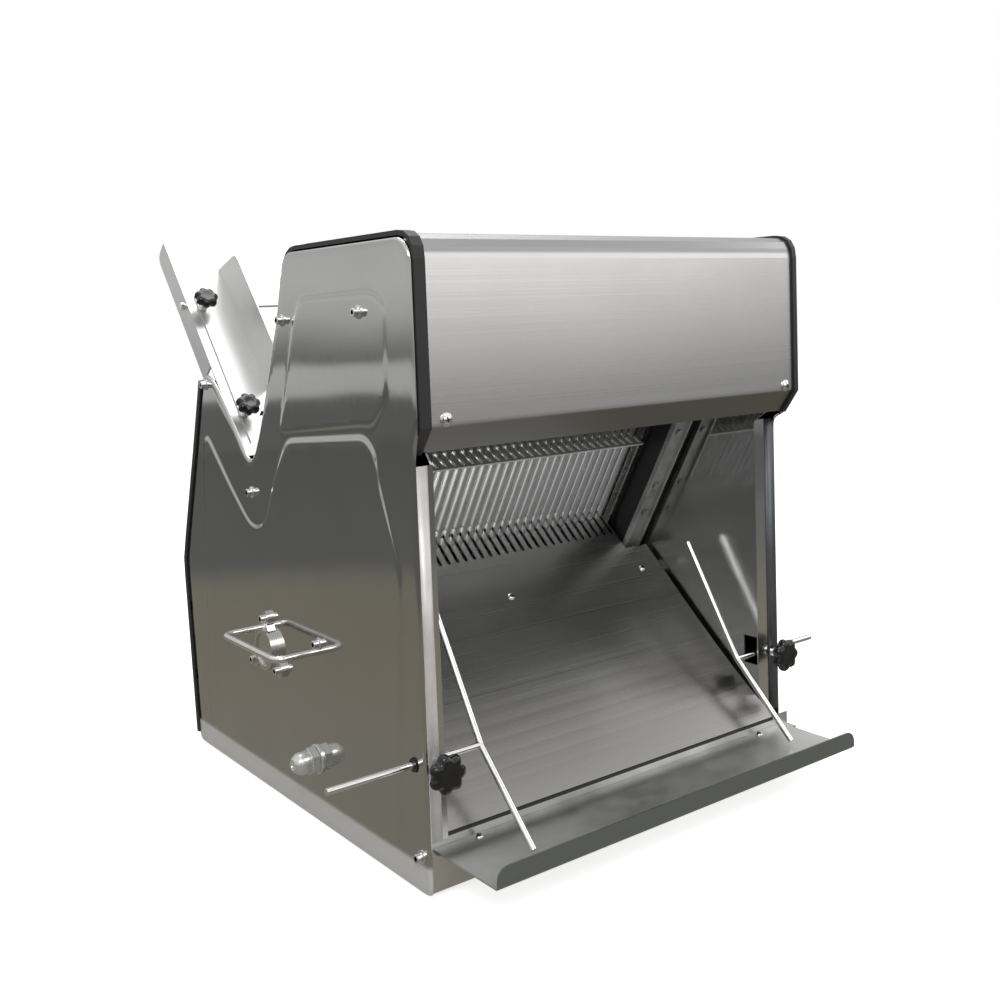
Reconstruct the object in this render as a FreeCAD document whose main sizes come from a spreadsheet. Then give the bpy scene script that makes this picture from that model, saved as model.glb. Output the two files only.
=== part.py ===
import FreeCAD, Part
import math
import os
import Sketcher
from FreeCAD import Placement, Rotation, Vector

# Bench-top electric bread slicer, in millimetres.
# +X is the operator's right, -Y the outfeed side that faces the operator, +Z up.
# The origin lies on the table, under the middle of the side panels.

os.makedirs("parts", exist_ok=True)
doc = FreeCAD.newDocument("bread_slicer")
sheet = doc.addObject("Spreadsheet::Sheet", "Sizes")


def size(alias, value):
    """Writes one driving size as a named cell and returns it."""
    row = len(SIZES) + 1
    sheet.set("A%d" % row, alias)
    sheet.set("B%d" % row, str(value))
    sheet.setAlias("B%d" % row, alias)
    SIZES[alias] = value
    return value


SIZES = {}

# Body
half_width = size("half_width", 283.0)
skin = size("skin", 2.0)
rim_depth = size("rim_depth", 4.0)
front_y = size("front_y", -295.0)
right_front_setback = size("right_front_setback", 31.0)
panel_bottom = size("panel_bottom", 2.0)
flange_width = size("flange_width", 18.0)
flange_bottom = size("flange_bottom", 58.0)
flange_top = size("flange_top", 436.0)
emboss_height = size("emboss_height", 1.5)
wall_right = size("wall_right", 246.0)
wall_left = size("wall_left", 258.0)
wall_thickness = size("wall_thickness", 2.0)
seat_gap = size("seat_gap", 0.3)
pan_top = size("pan_top", 12.0)
pan_thickness = size("pan_thickness", 2.0)

# Head cover
head_front = size("head_front", -303.0)
head_top = size("head_top", 662.5)
panel_top = size("panel_top", 659.0)
nose_z = size("nose_z", 474.0)
cover_sheet = size("cover_sheet", 1.2)
trim_width = size("trim_width", 13.0)
right_trim_width = size("right_trim_width", 7.0)
trim_thickness = size("trim_thickness", 4.9)
rear_trim_width = size("rear_trim_width", 9.0)
rear_trim_thickness = size("rear_trim_thickness", 3.0)
rear_trim_lip = size("rear_trim_lip", 2.0)
rear_sheet = size("rear_sheet", 1.5)

# Blade pack
blade_count = 31
blade_pitch = size("blade_pitch", 13.0)
blade_thickness = size("blade_thickness", 0.8)
blade_width = size("blade_width", 11.0)
pack_tilt = size("pack_tilt", 31.0)
crank_y = size("crank_y", 47.0)
crank_z = size("crank_z", 185.0)
frame_offset = size("frame_offset", 9.0)
frame_depth = size("frame_depth", 12.0)
bar_height = size("bar_height", 14.0)
lower_bar = size("lower_bar", 62.0)
upper_bar = size("upper_bar", 330.0)
rail_width = size("rail_width", 10.0)
guide_gap = size("guide_gap", 0.3)
guide_front = size("guide_front", 48.0)
guide_rear = size("guide_rear", 27.0)
guide_low = size("guide_low", 46.0)
guide_high = size("guide_high", 352.0)
strip_sheet = size("strip_sheet", 2.0)
STRIP_BOLTS = [166.0, 212.0, 300.0]
scallop_pitch = size("scallop_pitch", 9.0)
scallop_depth = size("scallop_depth", 1.6)
scallop_radius = size("scallop_radius", 6.5)

# Bread path
plate_sheet = size("plate_sheet", 2.0)
slot_width = size("slot_width", 5.0)
comb_level = size("comb_level", 262.0)
comb_sheet = size("comb_sheet", 2.5)
comb_front = size("comb_front", 22.0)
comb_rear = size("comb_rear", 46.0)
comb_slot_reach = size("comb_slot_reach", 19.0)
wall_gap = size("wall_gap", 6.0)
chute_angle = size("chute_angle", 50.0)
chute_foot_y = size("chute_foot_y", 105.0)
chute_foot_z = size("chute_foot_z", 411.0)
chute_length = size("chute_length", 374.0)
chute_half = size("chute_half", 275.0)
chute_flange = size("chute_flange", 32.0)
chute_sheet = size("chute_sheet", 2.0)

# Drive
stroke_half = size("stroke_half", 10.0)
journal_radius = size("journal_radius", 10.0)
pin_radius = size("pin_radius", 6.0)
running_gap = size("running_gap", 0.05)
open_pivot_gap = size("open_pivot_gap", 1.0)
pulley_radius = size("pulley_radius", 70.0)
motor_pulley_radius = size("motor_pulley_radius", 24.0)
motor_y = size("motor_y", 170.0)
motor_z = size("motor_z", 92.0)
motor_radius = size("motor_radius", 58.0)
belt_width = size("belt_width", 10.0)
belt_depth = size("belt_depth", 5.0)

# Tray
tray_half = size("tray_half", 268.0)
tray_sheet = size("tray_sheet", 2.0)
tray_top = size("tray_top", 44.0)
tray_rear = size("tray_rear", -279.0)
tray_front = size("tray_front", -390.0)
lip_height = size("lip_height", 20.0)

# Outfeed bread guides
rod_radius = size("rod_radius", 3.6)
rod_z = size("rod_z", 134.0)
left_rod_y = size("left_rod_y", -274.0)
right_rod_y = size("right_rod_y", -254.0)

# Infeed bread guides
guide_foot = size("guide_foot", 50.0)
guide_wing = size("guide_wing", 60.0)
guide_sheet = size("guide_sheet", 2.0)
stud_radius = size("stud_radius", 3.0)

# Hand knobs
outfeed_knob_radius = size("outfeed_knob_radius", 21.0)
infeed_knob_radius = size("infeed_knob_radius", 16.0)

# Handles
handle_reach = size("handle_reach", 44.0)
handle_span = size("handle_span", 145.0)
handle_radius = size("handle_radius", 4.0)
handle_y = size("handle_y", 12.5)
handle_z = size("handle_z", 202.0)

PARTS = []


def add(label, obj):
    """Names a sub-part and puts it on the list of files to write."""
    obj.Label = label
    PARTS.append((label, obj))
    return obj


def role_plane(body, role):
    """Returns one of the body's own origin planes."""
    for feature in body.Origin.OriginFeatures:
        if feature.Role == role:
            return feature
    raise ValueError(role)


def draw_polygon(sketch, points):
    """Adds one closed run of straight lines."""
    count = len(points)
    for i in range(count):
        a = Vector(points[i][0], points[i][1], 0)
        b = Vector(points[(i + 1) % count][0], points[(i + 1) % count][1], 0)
        sketch.addGeometry(Part.LineSegment(a, b), False)


def draw_circle(sketch, centre, radius):
    """Adds one circle."""
    sketch.addGeometry(Part.Circle(Vector(centre[0], centre[1], 0), Vector(0, 0, 1), radius), False)


def draw_slot(sketch, x, low, high, width):
    """Adds one slot with round ends that runs along the sketch's second axis."""
    r = width / 2.0
    up = Vector(0, 0, 1)
    sketch.addGeometry(Part.LineSegment(Vector(x - r, low + r, 0), Vector(x - r, high - r, 0)), False)
    sketch.addGeometry(Part.LineSegment(Vector(x + r, low + r, 0), Vector(x + r, high - r, 0)), False)
    top = Part.Circle(Vector(x, high - r, 0), up, r)
    bottom = Part.Circle(Vector(x, low + r, 0), up, r)
    sketch.addGeometry(Part.ArcOfCircle(top, 0, math.pi), False)
    sketch.addGeometry(Part.ArcOfCircle(bottom, math.pi, 2 * math.pi), False)


def body_sketch(body, role, offset, polygons=(), circles=(), slots=()):
    """Draws a sketch on one of the body's own planes, moved along its normal."""
    sketch = body.newObject("Sketcher::SketchObject", "Profile")
    sketch.AttachmentSupport = [(role_plane(body, role), "")]
    sketch.MapMode = "FlatFace"
    sketch.AttachmentOffset = Placement(Vector(0, 0, offset), Rotation())
    for points in polygons:
        draw_polygon(sketch, points)
    for centre, radius in circles:
        draw_circle(sketch, centre, radius)
    for x, low, high, width in slots:
        draw_slot(sketch, x, low, high, width)
    return sketch


def pad(body, role, start, length, **drawn):
    """Pads a sketch along the plane's normal from a given place."""
    sketch = body_sketch(body, role, start, **drawn)
    feature = body.newObject("PartDesign::Pad", "Pad")
    feature.Profile = sketch
    feature.Length = 1.0
    if isinstance(length, str):
        feature.setExpression("Length", length)
    else:
        feature.Length = length
    feature.Reversed = False
    sketch.Visibility = False
    return feature


def pocket(body, role, start, length, **drawn):
    """Cuts a sketch against the plane's normal from a given place."""
    sketch = body_sketch(body, role, start, **drawn)
    feature = body.newObject("PartDesign::Pocket", "Pocket")
    feature.Profile = sketch
    if isinstance(length, str):
        feature.setExpression("Length", length)
    else:
        feature.Length = length
    sketch.Visibility = False
    return feature


def new_body(label, place=None):
    """Makes an empty body, listed for writing."""
    body = doc.addObject("PartDesign::Body", label)
    body.AllowCompound = True
    if place is not None:
        body.Placement = place
    return add(label, body)


def prism(label, role, start, length, place=None, **drawn):
    """A sub-part that is one padded profile."""
    body = new_body(label, place)
    pad(body, role, start, length, **drawn)
    return body


def box(x0, x1, y0, y1, z0, z1, place=None):
    """A plain block between two corners."""
    obj = doc.addObject("Part::Box", "Block")
    obj.Length = x1 - x0
    obj.Width = y1 - y0
    obj.Height = z1 - z0
    corner = Placement(Vector(x0, y0, z0), Rotation())
    obj.Placement = corner if place is None else place.multiply(corner)
    return obj


def rod(start, axis, length, radius, place=None):
    """A plain round bar from a point along an axis."""
    obj = doc.addObject("Part::Cylinder", "Bar")
    obj.Radius = radius
    obj.Height = length
    turned = Placement(Vector(*start), Rotation(Vector(0, 0, 1), Vector(*axis)))
    obj.Placement = turned if place is None else place.multiply(turned)
    return obj


def fuse(pieces, label=None):
    """Joins pieces into one solid."""
    obj = doc.addObject("Part::MultiFuse", "Joined")
    obj.Shapes = pieces
    obj.Refine = True
    return obj if label is None else add(label, obj)


def cut(base, tool, label=None):
    """Takes one piece away from another."""
    obj = doc.addObject("Part::Cut", "Trimmed")
    obj.Base = base
    obj.Tool = tool
    return obj if label is None else add(label, obj)


def group(pieces, label):
    """Several like pieces under one name, each its own solid."""
    obj = doc.addObject("Part::Compound", "Group")
    obj.Links = pieces
    return add(label, obj)


def offset_line(points, distance):
    """Moves an open run of points sideways, to its left."""
    moved = []
    for i, point in enumerate(points):
        before = points[max(i - 1, 0)]
        after = points[min(i + 1, len(points) - 1)]
        normals = []
        for a, b in ((before, point), (point, after)):
            run = math.hypot(b[0] - a[0], b[1] - a[1])
            if run > 0:
                normals.append((-(b[1] - a[1]) / run, (b[0] - a[0]) / run))
        nx = sum(n[0] for n in normals)
        ny = sum(n[1] for n in normals)
        scale = len(normals) * distance / (nx * nx + ny * ny)
        if len(normals) == 1:
            scale = distance
        moved.append((point[0] + nx * scale, point[1] + ny * scale))
    return moved


def band(points, thickness):
    """A closed outline of even thickness to the left of an open run."""
    return list(points) + offset_line(points, thickness)[::-1]


def bend(points, corner, before, after, steps):
    """Replaces one corner of a run of points with a curve that starts and ends at the given reaches."""
    a, c, b = points[corner - 1], points[corner], points[(corner + 1) % len(points)]
    la = math.hypot(a[0] - c[0], a[1] - c[1])
    lb = math.hypot(b[0] - c[0], b[1] - c[1])
    made = []
    for i in range(steps + 1):
        t = i / float(steps)
        wa, wb = before / la * (1 - t) ** 2, after / lb * t ** 2
        made.append((c[0] + (a[0] - c[0]) * wa + (b[0] - c[0]) * wb,
                     c[1] + (a[1] - c[1]) * wa + (b[1] - c[1]) * wb))
    return points[:corner] + made + points[corner + 1:]


def rounded(points, corner, radius, steps=4):
    """Replaces one corner of a run of points with an even round stretch."""
    a, c, b = points[corner - 1], points[corner], points[(corner + 1) % len(points)]
    la = math.hypot(a[0] - c[0], a[1] - c[1])
    lb = math.hypot(b[0] - c[0], b[1] - c[1])
    reach = min(radius, 0.45 * la, 0.45 * lb)
    return bend(points, corner, reach, reach, steps)


# Frames that several pieces share
pack_place = Placement(Vector(0, crank_y, crank_z), Rotation(Vector(1, 0, 0), pack_tilt))
chute_place = Placement(Vector(0, chute_foot_y, chute_foot_z), Rotation(Vector(1, 0, 0), chute_angle))


def chute_point(up, out):
    """World Y and Z of a place on the chute."""
    point = chute_place.multVec(Vector(0, up, out))
    return (point.y, point.z)


# Side panels: one pressed outline, mirrored, with the right front edge set back
CHAMFER_END = (-283.0, 447.0)


def panel_outline(setback):
    """The panel's edge in Y and Z, from the front foot upward and around."""
    front = front_y + setback
    points = [(front, panel_bottom), (front, 437.0)]
    points.append((min(front, CHAMFER_END[0]), 443.0))
    points += [(head_front, nose_z), (head_front, panel_top), (-36.0, panel_top)]
    points += [(-11.0, 582.0), (0.0, 558.0), (14.0, 523.0), (37.0, 475.0), (49.0, 450.0), (65.6, 422.6)]
    points += [(81.0, 411.0), (98.0, 423.0), (126.0, 455.0), (179.0, 507.0), (205.0, 517.5), (217.0, 512.0)]
    points += [(221.0, 501.0), (252.5, 411.0), (297.0, 290.0), (307.5, 258.0), (307.5, 232.0)]
    points.append((295.0, panel_bottom))
    points = rounded(points, 5, 26.0)
    points = rounded(points, 4, 24.0)
    return points


LOWER_EMBOSS = [(-244, 44), (-232, 34), (236, 34), (248, 46), (229, 346), (219, 428), (208, 436)]
LOWER_EMBOSS += [(195, 425), (143, 378), (101, 344), (86, 334), (68, 331), (53, 335), (39, 346), (10, 399)]
LOWER_EMBOSS += [(-20, 438), (-30, 445), (-206, 460), (-225, 446), (-232, 410), (-264, 330), (-264, 290)]
HEAD_EMBOSS = [(-77, 606), (-230, 609), (-257, 597), (-253, 500), (-222, 470), (-206, 472), (-8, 452)]
HEAD_EMBOSS += [(-24, 489), (-57, 581)]

grommet_hole = rod_radius + 2.6
knob_x = half_width - 12.5
knob_stud_radius = 3.2
shaft_hole = journal_radius + 4.0
SCREWS = [(-29.5, 583.0), (-207.5, 588.0), (77.5, 374.0), (203.0, 503.0), (-281.7, 41.5), (-83.0, 218.0)]
screw_hole = 3.2
screw_shank = 3.0
screw_head = 5.0
shank_reach = 1.7
screw_head_height = 7.0
washer_radius = 7.5
washer_height = 1.2
bearing_circle = 38.0
BEARING_BOLTS = [(crank_y + bearing_circle * math.cos(math.radians(a)),
                  crank_z + bearing_circle * math.sin(math.radians(a))) for a in (90, 210, 330)]
gland_y = -66.0
gland_z = 80.0
gland_radius = 8.0
HANDLE_FEET = [handle_y - handle_span / 2.0, handle_y + handle_span / 2.0]


def inset(points, distance):
    """A closed outline moved inward."""
    face = Part.Face(Part.makePolygon([Vector(p[0], p[1], 0) for p in points + points[:1]]))
    wire = face.OuterWire.makeOffset2D(-distance, 2)
    return [(v.X, v.Y) for v in wire.OrderedVertexes]


def side_panel(label, side):
    """A pressed panel: a skin, a rim all round, two raised fields and a front flange."""
    setback = right_front_setback if side > 0 else 0.0
    rod_y = right_rod_y if side > 0 else left_rod_y
    outline = panel_outline(setback)
    body = new_body(label)
    outer = side * half_width
    start = outer if side < 0 else outer - rim_depth
    pad(body, "YZ_Plane", start, "Sizes.rim_depth", polygons=[outline])
    inner = inset(outline, skin)
    if side < 0:
        pocket(body, "YZ_Plane", outer + rim_depth, rim_depth - skin, polygons=[inner])
    else:
        pocket(body, "YZ_Plane", outer - skin, rim_depth - skin, polygons=[inner])
    front = front_y + setback
    raised = [LOWER_EMBOSS, HEAD_EMBOSS]
    if side > 0:
        raised = [[(max(p[0], front + 18.0), p[1]) for p in LOWER_EMBOSS], HEAD_EMBOSS]
    raised_start = outer - emboss_height if side < 0 else outer
    for field in raised:
        pad(body, "YZ_Plane", raised_start, "Sizes.emboss_height", polygons=[field])
    flange = [(side * half_width, front), (side * (half_width - flange_width), front),
              (side * (half_width - flange_width), front + skin), (side * half_width, front + skin)]
    pad(body, "XY_Plane", flange_bottom, flange_top - flange_bottom, polygons=[flange])
    holes = [((rod_y, rod_z), grommet_hole), ((crank_y, crank_z), shaft_hole)]
    holes += [(p, screw_hole) for p in SCREWS if p[0] - screw_hole > front + skin]
    holes += [(p, screw_hole) for p in BEARING_BOLTS]
    holes += [((y, handle_z), screw_hole) for y in HANDLE_FEET]
    if side < 0:
        holes.append(((gland_y, gland_z), gland_radius + 0.2))
    deep = rim_depth + 2 * emboss_height
    top = outer + rim_depth if side < 0 else outer + emboss_height
    pocket(body, "YZ_Plane", top, deep, circles=holes)
    knob_hole = [((side * knob_x, rod_z), knob_stud_radius + 0.6)]
    pocket(body, "XZ_Plane", -(front - 1.0), 4.0, circles=knob_hole)
    return body


side_panel("left_side_panel", -1)
side_panel("right_side_panel", 1)

inside = half_width - rim_depth - seat_gap

# Inner walls
HEAD_PATH = rounded(rounded([(-4.0, 566.0), (-11.0, 582.0), (-36.0, head_top), (head_front, head_top),
                             (head_front, nose_z), CHAMFER_END], 3, 26.0), 2, 24.0)
CHUTE_TAIL = [(-4.6, 306.6), (11.0, 321.5)]
CHUTE_PATH = [(10.0, 320.5), (chute_foot_y, chute_foot_z), chute_point(chute_length, 0.0)]
REAR_PATH = [(219.0, 507.0), (252.5, 411.0), (297.0, 290.0), (307.5, 258.0), (307.5, 232.0), (295.5, 14.0)]
wide_start = 6.0
upstand_room = 1.3
STUD_LEVELS = [69.0, 250.0]
chute_under = -(chute_sheet + seat_gap)


def inner_wall(label, side):
    """The flat wall beside the bread path, with a front flange and a rod opening."""
    front = front_y + skin + seat_gap + (right_front_setback if side > 0 else 0.0)
    low_front = max(front, tray_rear + 3.5)
    points = [(low_front, pan_top + seat_gap), (low_front, flange_bottom), (front, flange_bottom)]
    points.append((front, 434.0))
    points = [p for i, p in enumerate(points) if i == 0 or p != points[i - 1]]
    points += offset_line(HEAD_PATH, cover_sheet + seat_gap)[::-1]
    points += [(14.0, 520.0), (37.0, 470.0), (60.0, 424.0), chute_point(wide_start - 4.0, chute_under)]
    points += [chute_point(STUD_LEVELS[0] - 11.0, chute_under), chute_point(STUD_LEVELS[0] - 11.0, -13.0)]
    points += [chute_point(STUD_LEVELS[0] + 11.0, -13.0), chute_point(STUD_LEVELS[0] + 11.0, chute_under)]
    points += [chute_point(120.0, chute_under)]
    points += offset_line(REAR_PATH, -(rear_sheet + pan_thickness + upstand_room))[1:]
    body = new_body(label)
    x0 = wall_right if side > 0 else -wall_left - wall_thickness
    edge = wall_right if side > 0 else -wall_left
    pad(body, "YZ_Plane", x0, "Sizes.wall_thickness", polygons=[points])
    flange = [(edge, front), (side * (half_width - flange_width + 2.0), front),
              (side * (half_width - flange_width + 2.0), front + skin), (edge, front + skin)]
    pad(body, "XY_Plane", flange_bottom, flange_top - flange_bottom, polygons=[flange])
    rod_y = right_rod_y if side > 0 else left_rod_y
    y0, y1, z0, z1 = rod_y - 5.6, rod_y + 16.0, rod_z - 14.0, rod_z + 22.0
    window = [(y0, z0), (y1, z0), (y1, z1), (y0, z1)]
    holes = [((crank_y, crank_z), shaft_hole)]
    if side > 0:
        holes.append(((motor_y, motor_z), 12.0))
    pocket(body, "YZ_Plane", x0 + wall_thickness + 1.0, wall_thickness + 2.0,
           polygons=[window], circles=holes)
    return body


inner_wall("left_inner_wall", -1)
inner_wall("right_inner_wall", 1)

# Base pan, feet, front apron and rear cover
upstand_y = 291.7
pan_path = [(upstand_y, pan_top + 14.0), (upstand_y, pan_top), (-286.0, pan_top)]
prism("base_pan", "YZ_Plane", -inside, 2 * inside, polygons=[band(pan_path, pan_thickness)])
foot_height = pan_top - pan_thickness
foot_reach = 240.0
FEET = [(0.0, 0.0)] + [(sx * foot_reach, sy * foot_reach) for sx in (-1, 1) for sy in (-1, 1)]
group([rod((x, y, 0.0), (0, 0, 1), foot_height, 16.0) for x, y in FEET], "rubber_feet")
apron_y = front_y + 2.0
apron_flange = tray_top - tray_sheet
apron = new_body("front_apron")
pad(apron, "YZ_Plane", -inside, 2 * inside,
    polygons=[band([(tray_rear + seat_gap, flange_bottom - 1.0), (tray_rear + seat_gap, apron_flange),
                    (apron_y, apron_flange), (apron_y, 6.0)][::-1], -1.5)])
rear = new_body("rear_cover")
pad(rear, "YZ_Plane", -inside, 2 * inside, polygons=[band(REAR_PATH, -rear_sheet)])

# Head cover with its edge trims
cover_left = trim_width + 0.2 - inside
cover_right = inside - right_trim_width - 0.2
cover = new_body("top_cover")
pad(cover, "YZ_Plane", cover_left, cover_right - cover_left, polygons=[band(HEAD_PATH, cover_sheet)])
COVER_SCREW_X = [-247.0, 257.0]
cover_screw_z = 480.0
pocket(cover, "XZ_Plane", 2.0 - head_front, 6.0, circles=[((x, cover_screw_z), 2.3) for x in COVER_SCREW_X])
trim_line = offset_line(HEAD_PATH, -3.0)
trims = new_body("cover_trims")
pad(trims, "YZ_Plane", -inside, "Sizes.trim_width", polygons=[band(trim_line, trim_thickness)])
pad(trims, "YZ_Plane", inside - right_trim_width, "Sizes.right_trim_width",
    polygons=[band(trim_line, trim_thickness)])
rear_line = offset_line(REAR_PATH, rear_trim_thickness + seat_gap)
rear_trims = new_body("rear_trims")
for x0, lip_x0 in ((-half_width - seat_gap, -half_width - seat_gap - rear_trim_lip),
                   (half_width + seat_gap - rear_trim_width, half_width + seat_gap)):
    pad(rear_trims, "YZ_Plane", x0, "Sizes.rear_trim_width",
        polygons=[band(rear_line, -rear_trim_thickness)])
    pad(rear_trims, "YZ_Plane", lip_x0, "Sizes.rear_trim_lip",
        polygons=[band(rear_line, -rear_trim_thickness - 5.0)])
head_plate_top = (-8.5, 566.0)
head_plate_foot = (-52.0, 434.0)
between_left, between_right = -(wall_left - seat_gap), wall_right - seat_gap
between = between_right - between_left
prism("head_rear_plate", "YZ_Plane", between_left, between,
      polygons=[band([head_plate_foot, head_plate_top], rear_sheet)])

# Bread path: outfeed plate with its slots, cross bar and edge seal
plate_left, plate_right = -(wall_left - 3.0), wall_right - wall_gap
land_half = blade_pitch * (blade_count - 1) / 2.0 + slot_width / 2.0 + 3.5
PLATE_PATH = [(-6.3, 305.7), (-215.0, 116.0), (-289.0, 62.0)]
plate_slope = (PLATE_PATH[0][1] - PLATE_PATH[1][1]) / (PLATE_PATH[0][0] - PLATE_PATH[1][0])
plate_angle = math.degrees(math.atan(plate_slope))
PLATE_CURVE = bend(PLATE_PATH, 1, 95.0, 60.0, 8)
notch_y = -66.0
slot_low, slot_high = -36.0, 22.0
slot_sketch = doc.addObject("Sketcher::SketchObject", "PlateSlots")
for i in range(blade_count):
    draw_slot(slot_sketch, (i - (blade_count - 1) / 2.0) * blade_pitch, slot_low, slot_high, slot_width)
plate_cutter = doc.addObject("Part::Extrusion", "PlateSlotCutter")
plate_cutter.Base = slot_sketch
plate_cutter.Dir = Vector(0, 0, 1)
plate_cutter.LengthFwd = 50.0
plate_cutter.Solid = True
plate_cutter.Placement = pack_place.multiply(Placement(Vector(0, 0, 100.0), Rotation()))
plate_blank = doc.addObject("PartDesign::Body", "PlateBlank")
pad(plate_blank, "YZ_Plane", plate_left, plate_right - plate_left,
    polygons=[band(PLATE_CURVE[::-1], -plate_sheet)])
notches = [box(plate_left - 1.0, -land_half, notch_y, 40.0, 180.0, 360.0),
           box(land_half, plate_right + 1.0, notch_y, 40.0, 180.0, 360.0)]
plate_screw_y = -93.0
plate_screw_z = PLATE_PATH[1][1] + (plate_screw_y - PLATE_PATH[1][0]) * plate_slope
plate_place = Placement(Vector(0, plate_screw_y, plate_screw_z), Rotation(Vector(1, 0, 0), plate_angle))
PLATE_SCREW_X = [-19.0, 206.0]
plate_holes = [rod((x, 0, -6.0), (0, 0, 1), 12.0, 2.3, plate_place) for x in PLATE_SCREW_X]
cut(plate_blank, fuse([plate_cutter] + notches + plate_holes), "outfeed_plate")
bar_size = 16.0
cross_bar = box(between_left, between_right, -bar_size / 2, bar_size / 2,
                -plate_sheet - bar_size, -plate_sheet, plate_place)
bar_drills = [rod((x, 0, -plate_sheet - 8.0), (0, 0, 1), 10.0, 2.2, plate_place) for x in PLATE_SCREW_X]
cut(cross_bar, fuse(bar_drills), "plate_cross_bar")
plate_screws = []
for x in PLATE_SCREW_X:
    head = rod((x, 0, 0), (0, 0, 1), 2.6, 4.6, plate_place)
    shank = rod((x, 0, -9.0), (0, 0, 1), 9.5, 2.0, plate_place)
    plate_screws.append(fuse([head, shank]))
group(plate_screws, "plate_screws")
prism("plate_edge_seal", "YZ_Plane", plate_left, plate_right - plate_left,
      polygons=[[(-288.6, 59.7), (-288.6, 57.2), (-282.5, 57.2), (-282.5, 64.2)]])

# Upper comb
comb_polygon = [(-land_half, -comb_front), (land_half, -comb_front), (land_half, guide_rear + seat_gap),
                (between_right, guide_rear + seat_gap), (between_right, comb_rear),
                (between_left, comb_rear), (between_left, guide_rear + seat_gap),
                (-land_half, guide_rear + seat_gap)]
comb_slots = [((i - (blade_count - 1) / 2.0) * blade_pitch, -comb_slot_reach, comb_slot_reach, slot_width)
              for i in range(blade_count)]
prism("upper_comb", "XY_Plane", comb_level, "Sizes.comb_sheet", pack_place, polygons=[comb_polygon],
      slots=comb_slots)

# Infeed chute, with slots for the guides' studs
chute = doc.addObject("PartDesign::Body", "ChuteBlank")
chute.AllowCompound = True
pad(chute, "YZ_Plane", between_left, between,
    polygons=[band(CHUTE_PATH, -chute_sheet)])
pad(chute, "YZ_Plane", -land_half, 2 * land_half, polygons=[band(CHUTE_TAIL, -chute_sheet)])
upper_path = [chute_point(wide_start, 0.0), CHUTE_PATH[2]]
pad(chute, "YZ_Plane", -chute_half, 2 * chute_half, polygons=[band(upper_path, -chute_sheet)])
flange_path = [chute_point(152.0, 0.0), CHUTE_PATH[2]]
flange_outline = rounded(band(flange_path, -chute_flange), 2, 18.0)
for side in (-1, 1):
    x0 = -chute_half if side < 0 else chute_half - chute_sheet
    pad(chute, "YZ_Plane", x0, chute_sheet, polygons=[flange_outline])
stud_x = chute_half - 18.0
stud_travel = 140.0
slot_cutters = []
for side in (-1, 1):
    for level in STUD_LEVELS:
        reach = stud_radius + 0.4
        x_out, x_in = stud_x + reach, stud_x - stud_travel - reach
        low, high = min(side * x_out, side * x_in), max(side * x_out, side * x_in)
        slot = box(low, high, level - reach, level + reach, -chute_sheet - 1.0, 1.0, chute_place)
        slot_cutters.append(slot)
cross_rod_radius = 5.0
cross_rod_level = 264.0
cross_rod_out = -chute_sheet - cross_rod_radius - 1.6
rod_cutter = rod((-chute_half - 3.0, cross_rod_level, cross_rod_out), (1, 0, 0), 2 * chute_half + 6.0,
                 cross_rod_radius + 0.2, chute_place)
cut(chute, fuse(slot_cutters + [rod_cutter]), "infeed_chute")
add("chute_cross_rod", rod((-chute_half - 6.0, cross_rod_level, cross_rod_out), (1, 0, 0),
                           2 * chute_half + 12.0, cross_rod_radius, chute_place))

# Tray
tray = new_body("tray")
lip_y = tray_front + tray_sheet
tray_profile = [(tray_rear, tray_top), (tray_rear, tray_top - tray_sheet)]
tray_profile += [(tray_front + 3.0, tray_top - tray_sheet), (tray_front, tray_top + 1.0)]
tray_profile += [(tray_front, tray_top + 4.0), (lip_y, tray_top + 4.0)]
tray_profile += [(lip_y, tray_top + 2.0), (lip_y + 2.0, tray_top)]
pad(tray, "YZ_Plane", -tray_half, 2 * tray_half, polygons=[tray_profile])
lip_foot = tray_top + 3.5
lip = [(-tray_half, lip_foot), (-tray_half, tray_top + lip_height), (tray_half, tray_top + lip_height),
       (tray_half, lip_foot)]
lip = bend(bend(lip, 2, 15.0, 15.0, 6), 1, 15.0, 15.0, 6)
pad(tray, "XZ_Plane", -lip_y, "Sizes.tray_sheet", polygons=[lip])
tray_screw_x = 216.0
tray_screw_y = -286.0
pocket(tray, "XY_Plane", tray_top + 1.0, tray_sheet + 2.0,
       circles=[((side * tray_screw_x, tray_screw_y), 2.3) for side in (-1, 1)])
pocket(apron, "XY_Plane", apron_flange + 0.5, 3.0,
       circles=[((side * tray_screw_x, tray_screw_y), 2.3) for side in (-1, 1)])
group([fuse([rod((side * tray_screw_x, tray_screw_y, tray_top), (0, 0, 1), 2.0, 5.0),
             rod((side * tray_screw_x, tray_screw_y, tray_top - 9.0), (0, 0, 1), 9.5, 2.0)])
       for side in (-1, 1)], "tray_screws")

# Blade frames
pack_low = lower_bar + bar_height
pack_high = upper_bar
rail_inner = land_half + 1.2
rail_outer = rail_inner + rail_width


def blade_frame(label, centre):
    """A rectangular frame that holds every second blade."""
    outer = [(-rail_outer, lower_bar), (rail_outer, lower_bar), (rail_outer, upper_bar + bar_height),
             (-rail_outer, upper_bar + bar_height)]
    inner = [(-rail_inner, pack_low), (rail_inner, pack_low), (rail_inner, pack_high),
             (-rail_inner, pack_high)]
    return prism(label, "XZ_Plane", -centre - frame_depth / 2.0, "Sizes.frame_depth", pack_place,
                 polygons=[outer, inner])


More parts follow.
